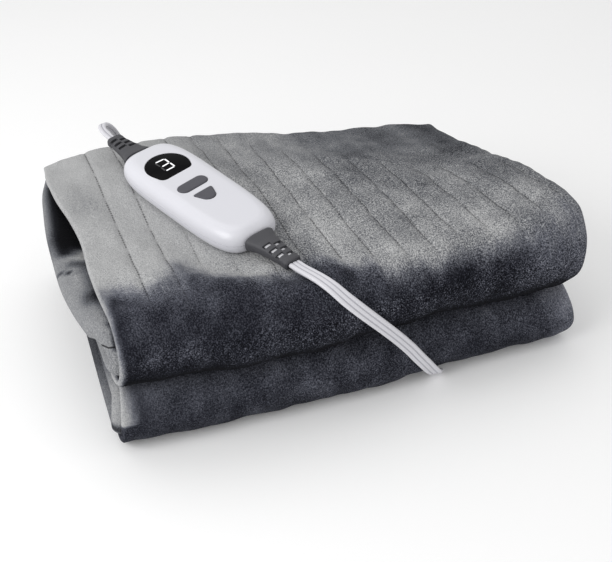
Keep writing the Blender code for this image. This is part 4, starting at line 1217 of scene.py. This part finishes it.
# Routes in millimetres from the point the stack was set out at. The last column is the way
# the flat side faces, in degrees from straight up towards the front.
MAINS_ROUTE = (
    (-126.9, 105.9, 131.3, 0), (-129.6, 111.0, 132.6, -4), (-132.0, 117.0, 134.2, -10),
    (-132.8, 124.0, 135.4, -22), (-131.0, 131.4, 134.6, -40), (-127.4, 138.6, 131.4, -60),
    (-122.8, 144.8, 125.8, -76), (-118.2, 149.4, 118.2, -88), (-114.2, 152.0, 108.5, -92),
    (-110.8, 153.4, 98.5, -93), (-108.0, 153.6, 84.0, -93), (-105.2, 153.8, 68.0, -92),
    (-102.2, 154.6, 52.0, -88), (-98.4, 156.8, 37.0, -80), (-93.6, 160.6, 24.0, -66),
    (-87.4, 165.8, 13.6, -44), (-79.6, 171.2, 6.8, -20), (-70.8, 175.6, 3.3, -4),
    (-62.4, 178.6, 2.0, 0), (-55.4, 181.6, 1.8, 0), (-50.4, 185.4, 1.8, 0))
TAIL_ROUTE = (
    (9.0, 231.3, 7.5, 0), (18.3, 233.3, 6.9, 0), (26.0, 235.2, 6.7, 0), (34.0, 236.4, 6.8, 0),
    (42.0, 236.9, 7.0, 0))
LEAD_ROUTE = (
    (-44.6, -105.4, 113.0, 3), (-41.6, -113.4, 112.6, 6), (-37.4, -122.5, 112.4, 12),
    (-33.2, -131.0, 111.6, 22), (-28.0, -138.6, 108.4, 38), (-22.4, -144.0, 103.0, 54),
    (-15.8, -147.4, 96.6, 70), (-8.4, -149.0, 89.2, 82), (-0.2, -149.1, 80.8, 90),
    (8.2, -148.0, 71.8, 95), (16.6, -146.0, 62.4, 96), (25.0, -143.7, 52.6, 94),
    (33.2, -142.0, 42.6, 92), (41.0, -140.6, 32.2, 94), (48.8, -139.4, 22.2, 100),
    (55.6, -137.0, 13.4, 118), (60.8, -133.5, 7.2, 142), (64.6, -128.6, 3.4, 162),
    (66.9, -125.6, 1.9, 172))
COIL_TURNS, COIL_STEPS = 6.25, 36  # turns, and points for each
COIL_FIRST = 5                    # its first point in the route, which leads in before it


def coil_points():
    """The wound length: two layers of three turns, each a cord's width inside the next, then out.

    Clockwise from the left. Radius and height step from one turn to the next near the left.
    """
    turn = np.linspace(0.0, COIL_TURNS, int(COIL_TURNS * COIL_STEPS) + 1)

    def stepped(stops, values):
        """One value after another, with a smooth step at each stop."""
        total = np.full_like(turn, values[0])
        for stop, before, after in zip(stops, values, values[1:]):
            total += (after - before) * ease(turn, stop - 0.1, stop + 0.1)
        return total

    radius = stepped((0.0, 1.0, 2.0, 4.0, 5.0), (48.8, 42.3, 35.8, 29.3, 35.8, 42.3))
    height = stepped((3.0, 5.95), (1.55, 4.65, 7.75)) + 0.05
    angle = np.pi - 2 * np.pi * turn
    x = COIL_CENTRE[0] * 1000 + radius * np.cos(angle)
    y = COIL_CENTRE[1] * 1000 + radius * np.sin(angle)
    return np.stack([x, y, height, 0 * turn], axis=1)


def cord_frames(table, step):
    """Centre points every step along a smooth curve, and its wide and face directions there."""
    table = np.array(table, float)
    table[:, :3] /= 1000
    steps = np.linalg.norm(np.diff(table[:, :3], axis=0), axis=1)
    knots = np.concatenate([[0.0], np.cumsum(steps)])
    count = int(round(knots[-1] / step)) + 1
    line = through(knots, table, np.linspace(0.0, knots[-1], count))
    points, facing = line[:, :3], np.radians(line[:, 3])
    heading = np.gradient(points, axis=0)
    heading /= np.linalg.norm(heading, axis=1, keepdims=True)
    face = np.stack([0 * facing, -np.sin(facing), np.cos(facing)], axis=1)
    wide = np.cross(face, heading)
    wide /= np.linalg.norm(wide, axis=1, keepdims=True)
    return settled(points), wide, np.cross(heading, wide)


def cord_profile(width, thick, cores, groove, count=20):
    """Outline of a flat lead of round cores side by side; the last column marks the grooves.

    Flat between two half circles, and drawn in by a bell at each groove.
    """
    half, radius = width / 2, thick / 2
    x = half * np.cos(np.pi * (np.arange(count) + 0.5) / count)
    x = np.concatenate([x, np.linspace(half - radius, radius - half, 4 * cores + 3)])
    x = np.unique(np.round(x, 7))[::-1]
    beyond = np.maximum(np.abs(x) - (half - radius), 0.0)
    height = np.sqrt(np.maximum(radius**2 - beyond**2, 0.0))
    valleys = [width * (k / cores - 0.5) for k in range(1, cores)]
    mark = sum(bell(x, spot, 0.00042) for spot in valleys)
    height = height * (1.0 - groove * mark)
    top = np.stack([x, height, mark], axis=1)
    return np.concatenate([top, top[::-1] * (1.0, -1.0, 1.0)])


def jacket(settings, name):
    """Flexible cord plastic: satin, faintly uneven, with shade in the grooves between cores."""
    finish = Finish(name, roughness=0.42)
    cloud = finish.noise(60.0, 3.0)
    base = finish.mix(cloud * 0.5, settings.jacket, [c * 0.9 for c in settings.jacket])
    finish.set("Base Color", finish.mix(finish.field("valley") * 0.8, base, settings.groove))
    finish.set("Roughness", 0.38 + cloud * 0.12)
    finish.set("Normal", finish.bump(finish.noise(700.0, 2.0), 0.00005))
    return finish.material


def make_leads(settings):
    """The mains lead from the controller to its plug, and the short lead into the blanket."""
    finish = jacket(settings, "lead_jacket")
    route = np.concatenate([MAINS_ROUTE, coil_points()[COIL_FIRST:], TAIL_ROUTE])
    line, wide, face = cord_frames(route, 0.0050)
    profile = cord_profile(MAINS_WIDTH, MAINS_THICK, 2, 0.28)
    mains = tube("mains_lead", line, wide, face, profile, finish,
                 replaces=["mains_cord", "mains_coil", "mains_tail"], slot="cord_white")
    line, wide, face = cord_frames(LEAD_ROUTE, 0.0035)
    profile = cord_profile(LEAD_WIDTH, LEAD_THICK, 3, 0.30)
    lead = tube("blanket_lead", line, wide, face, profile, finish,
                replaces=["lead_cord"], slot="cord_white")


PLUG_START = (0.0560, 0.2370)
PLUG_AXIS_Z = 0.0070
# Plug: distance from its start, half width and half height, in millimetres.
PLUG_SECTIONS = (
    (-13.0, 3.9, 2.6), (-9.0, 4.6, 3.2), (-2.0, 5.8, 4.2), (1.0, 9.4, 5.6), (6.0, 12.4, 6.7),
    (14.0, 13.0, 6.9), (22.0, 13.0, 6.9), (23.0, 12.3, 6.2))
GRIP_PITCH, SLEEVE_PITCH = 0.0026, 0.0024  # groove to groove on the plug and on its relief


def make_plug(settings):
    """A plain flat two-pin plug with finger grooves and its own tapered strain relief.

    Rounded rectangles whose sizes are read off PLUG_SECTIONS and smoothed; sines cut the grooves.
    """
    plastic = moulded_plastic("plug_plastic", settings.plug, 0.36)
    table = np.array(PLUG_SECTIONS) / 1000
    at = np.linspace(table[0, 0], table[-1, 0], 73)
    half_width, half_height = (np.interp(at, table[:, 0], table[:, k]) for k in (1, 2))
    kernel = np.array([0.25, 0.5, 0.25])
    for _ in range(3):
        half_width[1:-1] = np.convolve(half_width, kernel, "valid")
        half_height[1:-1] = np.convolve(half_height, kernel, "valid")
    grip = ease(at, 0.004, 0.007) * (1.0 - ease(at, 0.014, 0.017))
    half_width = half_width - 0.0005 * grip * (1 + np.sin(2 * np.pi * at / GRIP_PITCH))
    sleeve = (1.0 - ease(at, -0.003, -0.001)) * ease(at, -0.012, -0.0105)
    half_height = half_height - 0.0004 * sleeve * (1 + np.sin(2 * np.pi * at / SLEEVE_PITCH))
    points, quads, triangles = loft(rounded_section(at, half_width, half_height))
    place = settled([(*PLUG_START, PLUG_AXIS_Z)])[0]
    new_piece("plug_shell", points + place, quads, triangles, plastic, replaces=["plug_body"],
              slot="plug_white")
    metal = Finish("pin_brass", roughness=0.3, metallic=1.0)
    rub = metal.noise(900.0, 3.0, stretch=(0.1, 1.0, 1.0))
    metal.set("Base Color", metal.mix(rub, (0.72, 0.66, 0.50), (0.80, 0.76, 0.64)))
    metal.set("Roughness", 0.24 + rub * 0.2)
    for node in ("plug_pin_left", "plug_pin_right"):
        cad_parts[node].data.materials.clear()
        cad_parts[node].data.materials.append(metal.material)


# ---------------------------------------------------------------- stage

CAMERA_FROM = (-0.2534, -0.6697, 0.4862)
CAMERA_TO = (-0.0133, -0.0475, 0.0563)
CAMERA_LENS = 58.82
FLOOR_REACH, FLOOR_DROP = 6.0, 0.0002
# Lamps: place, diameter, and share of the main light's power.
LAMPS = (("main_light", (-1.15, -0.35, 0.80), 0.9, 1.0),
         ("top_light", (-0.20, 0.50, 1.40), 1.1, 0.22))


def aimed(place, target):
    """Rotation of a camera or light that stands at place and looks at target."""
    return (Vector(target) - Vector(place)).to_track_quat("-Z", "Y").to_euler()


def make_camera(scene):
    """Camera at the photograph's angle, with a plain view of the colours."""
    camera = bpy.data.objects.new("camera", bpy.data.cameras.new("camera"))
    place, target = settled([CAMERA_FROM, CAMERA_TO])
    camera.location = place
    camera.rotation_euler = aimed(place, target)
    camera.data.sensor_width = 36.0
    camera.data.lens = CAMERA_LENS
    camera.data.clip_start = 0.01
    scene.collection.objects.link(camera)
    scene.camera = camera
    scene.view_settings.view_transform = "Standard"


def make_floor(scene, colour):
    """Pale floor that glows a little, so that it stays as white as the photograph's ground."""
    pale = Finish("pale_floor", roughness=0.7)
    pale.set("Base Color", pale.mix(pale.noise(4.0), colour, [c * 0.985 for c in colour]))
    pale.set("Emission Color", tuple(colour))
    pale.set("Emission Strength", 0.07)
    far = FLOOR_REACH
    mesh = bpy.data.meshes.new("floor")
    mesh.from_pydata([(-far, -far, 0), (far, -far, 0), (far, far, 0), (-far, far, 0)], [],
                     [(0, 1, 2, 3)])
    mesh.materials.append(pale.material)
    floor = bpy.data.objects.new("floor", mesh)
    floor.location = (0.0, 0.0, -FLOOR_DROP)
    scene.collection.objects.link(floor)


def make_lights(scene, sky, key):
    """Even white light from all sides, and two soft round lamps."""
    world = bpy.data.worlds.new("surroundings")
    world.use_nodes = True
    background = world.node_tree.nodes["Background"]
    background.inputs["Color"].default_value = (1.0, 1.0, 1.0, 1.0)
    background.inputs["Strength"].default_value = sky
    scene.world = world
    for name, spot, size, share in LAMPS:
        data = bpy.data.lights.new(name, "AREA")
        data.shape = "DISK"
        data.size = size
        data.energy = key * share
        lamp = bpy.data.objects.new(name, data)
        lamp.location = spot
        lamp.rotation_euler = aimed(spot, (0.0, 0.0, 0.05))
        scene.collection.objects.link(lamp)


def make_stage(settings):
    """Camera at the photograph's angle, pale floor, even surrounding light and soft lamps."""
    scene = bpy.context.scene
    make_camera(scene)
    make_floor(scene, settings.floor)
    make_lights(scene, settings.sky, settings.key)


# ---------------------------------------------------------------- add-on

class BLANKET_OT_stage(bpy.types.Operator):
    """Camera, floor and lights."""
    bl_idname = "blanket.stage"
    bl_label = "Stage"
    bl_options = {"REGISTER", "UNDO"}

    def execute(self, context):
        make_stage(context.scene.blanket_stage)
        return {"FINISHED"}


class BLANKET_OT_plug(bpy.types.Operator):
    """Two-pin plug, and the metal of its pins."""
    bl_idname = "blanket.plug"
    bl_label = "Plug"
    bl_options = {"REGISTER", "UNDO"}

    def execute(self, context):
        make_plug(context.scene.blanket_leads)
        return {"FINISHED"}


class BLANKET_OT_leads(bpy.types.Operator):
    """Mains lead in its coil, and the lead into the blanket."""
    bl_idname = "blanket.leads"
    bl_label = "Leads"
    bl_options = {"REGISTER", "UNDO"}

    def execute(self, context):
        make_leads(context.scene.blanket_leads)
        return {"FINISHED"}


class BLANKET_OT_cloth(bpy.types.Operator):
    """Folded plush cloth with its rows of stitches."""
    bl_idname = "blanket.cloth"
    bl_label = "Cloth"
    bl_options = {"REGISTER", "UNDO"}

    def execute(self, context):
        make_cloth(context.scene.blanket_cloth)
        return {"FINISHED"}


class BLANKET_OT_shells(bpy.types.Operator):
    """Upper and lower shell of the controller."""
    bl_idname = "blanket.shells"
    bl_label = "Controller shells"
    bl_options = {"REGISTER", "UNDO"}

    def execute(self, context):
        make_shells(context.scene.blanket_controller)
        return {"FINISHED"}


class BLANKET_OT_display(bpy.types.Operator):
    """Display window and its digit."""
    bl_idname = "blanket.display"
    bl_label = "Display"
    bl_options = {"REGISTER", "UNDO"}

    def execute(self, context):
        make_display(context.scene.blanket_controller)
        return {"FINISHED"}


class BLANKET_OT_buttons(bpy.types.Operator):
    """Pill and arrow button."""
    bl_idname = "blanket.buttons"
    bl_label = "Buttons"
    bl_options = {"REGISTER", "UNDO"}

    def execute(self, context):
        make_buttons(context.scene.blanket_controller)
        return {"FINISHED"}


class BLANKET_OT_reliefs(bpy.types.Operator):
    """Slotted strain reliefs and the lining of the lower one."""
    bl_idname = "blanket.reliefs"
    bl_label = "Strain reliefs"
    bl_options = {"REGISTER", "UNDO"}

    def execute(self, context):
        make_reliefs(context.scene.blanket_controller)
        return {"FINISHED"}


OPERATORS = (BLANKET_OT_stage, BLANKET_OT_plug, BLANKET_OT_leads, BLANKET_OT_cloth,
             BLANKET_OT_shells, BLANKET_OT_display, BLANKET_OT_buttons, BLANKET_OT_reliefs)
GROUPS = (("blanket_cloth", BlanketCloth), ("blanket_controller", BlanketController),
          ("blanket_leads", BlanketLeads), ("blanket_stage", BlanketStage))


class BLANKET_PT_pieces(bpy.types.Panel):
    """Lists the settings and the pieces that they make."""
    bl_label = "Heated blanket"
    bl_idname = "BLANKET_PT_pieces"
    bl_space_type = "VIEW_3D"
    bl_region_type = "UI"
    bl_category = "Blanket"

    def draw(self, context):
        for name, group in GROUPS:
            column = self.layout.column()
            settings = getattr(context.scene, name)
            for key in group.__annotations__:
                column.prop(settings, key)
        for made in OPERATORS:
            self.layout.operator(made.bl_idname)


def register():
    """Add the settings, the operators and the panel."""
    for name, group in GROUPS:
        bpy.utils.register_class(group)
        setattr(bpy.types.Scene, name, bpy.props.PointerProperty(type=group))
    for made in OPERATORS:
        bpy.utils.register_class(made)
    bpy.utils.register_class(BLANKET_PT_pieces)


def unregister():
    """Take them away again."""
    bpy.utils.unregister_class(BLANKET_PT_pieces)
    for made in reversed(OPERATORS):
        bpy.utils.unregister_class(made)
    for name, group in reversed(GROUPS):
        delattr(bpy.types.Scene, name)
        bpy.utils.unregister_class(group)


def main():
    """Make everything in order."""
    register()
    bpy.ops.blanket.stage()
    bpy.ops.blanket.plug()
    bpy.ops.blanket.leads()
    bpy.ops.blanket.cloth()
    bpy.ops.blanket.shells()
    bpy.ops.blanket.display()
    bpy.ops.blanket.buttons()
    bpy.ops.blanket.reliefs()


if __name__ == "__main__":
    main()
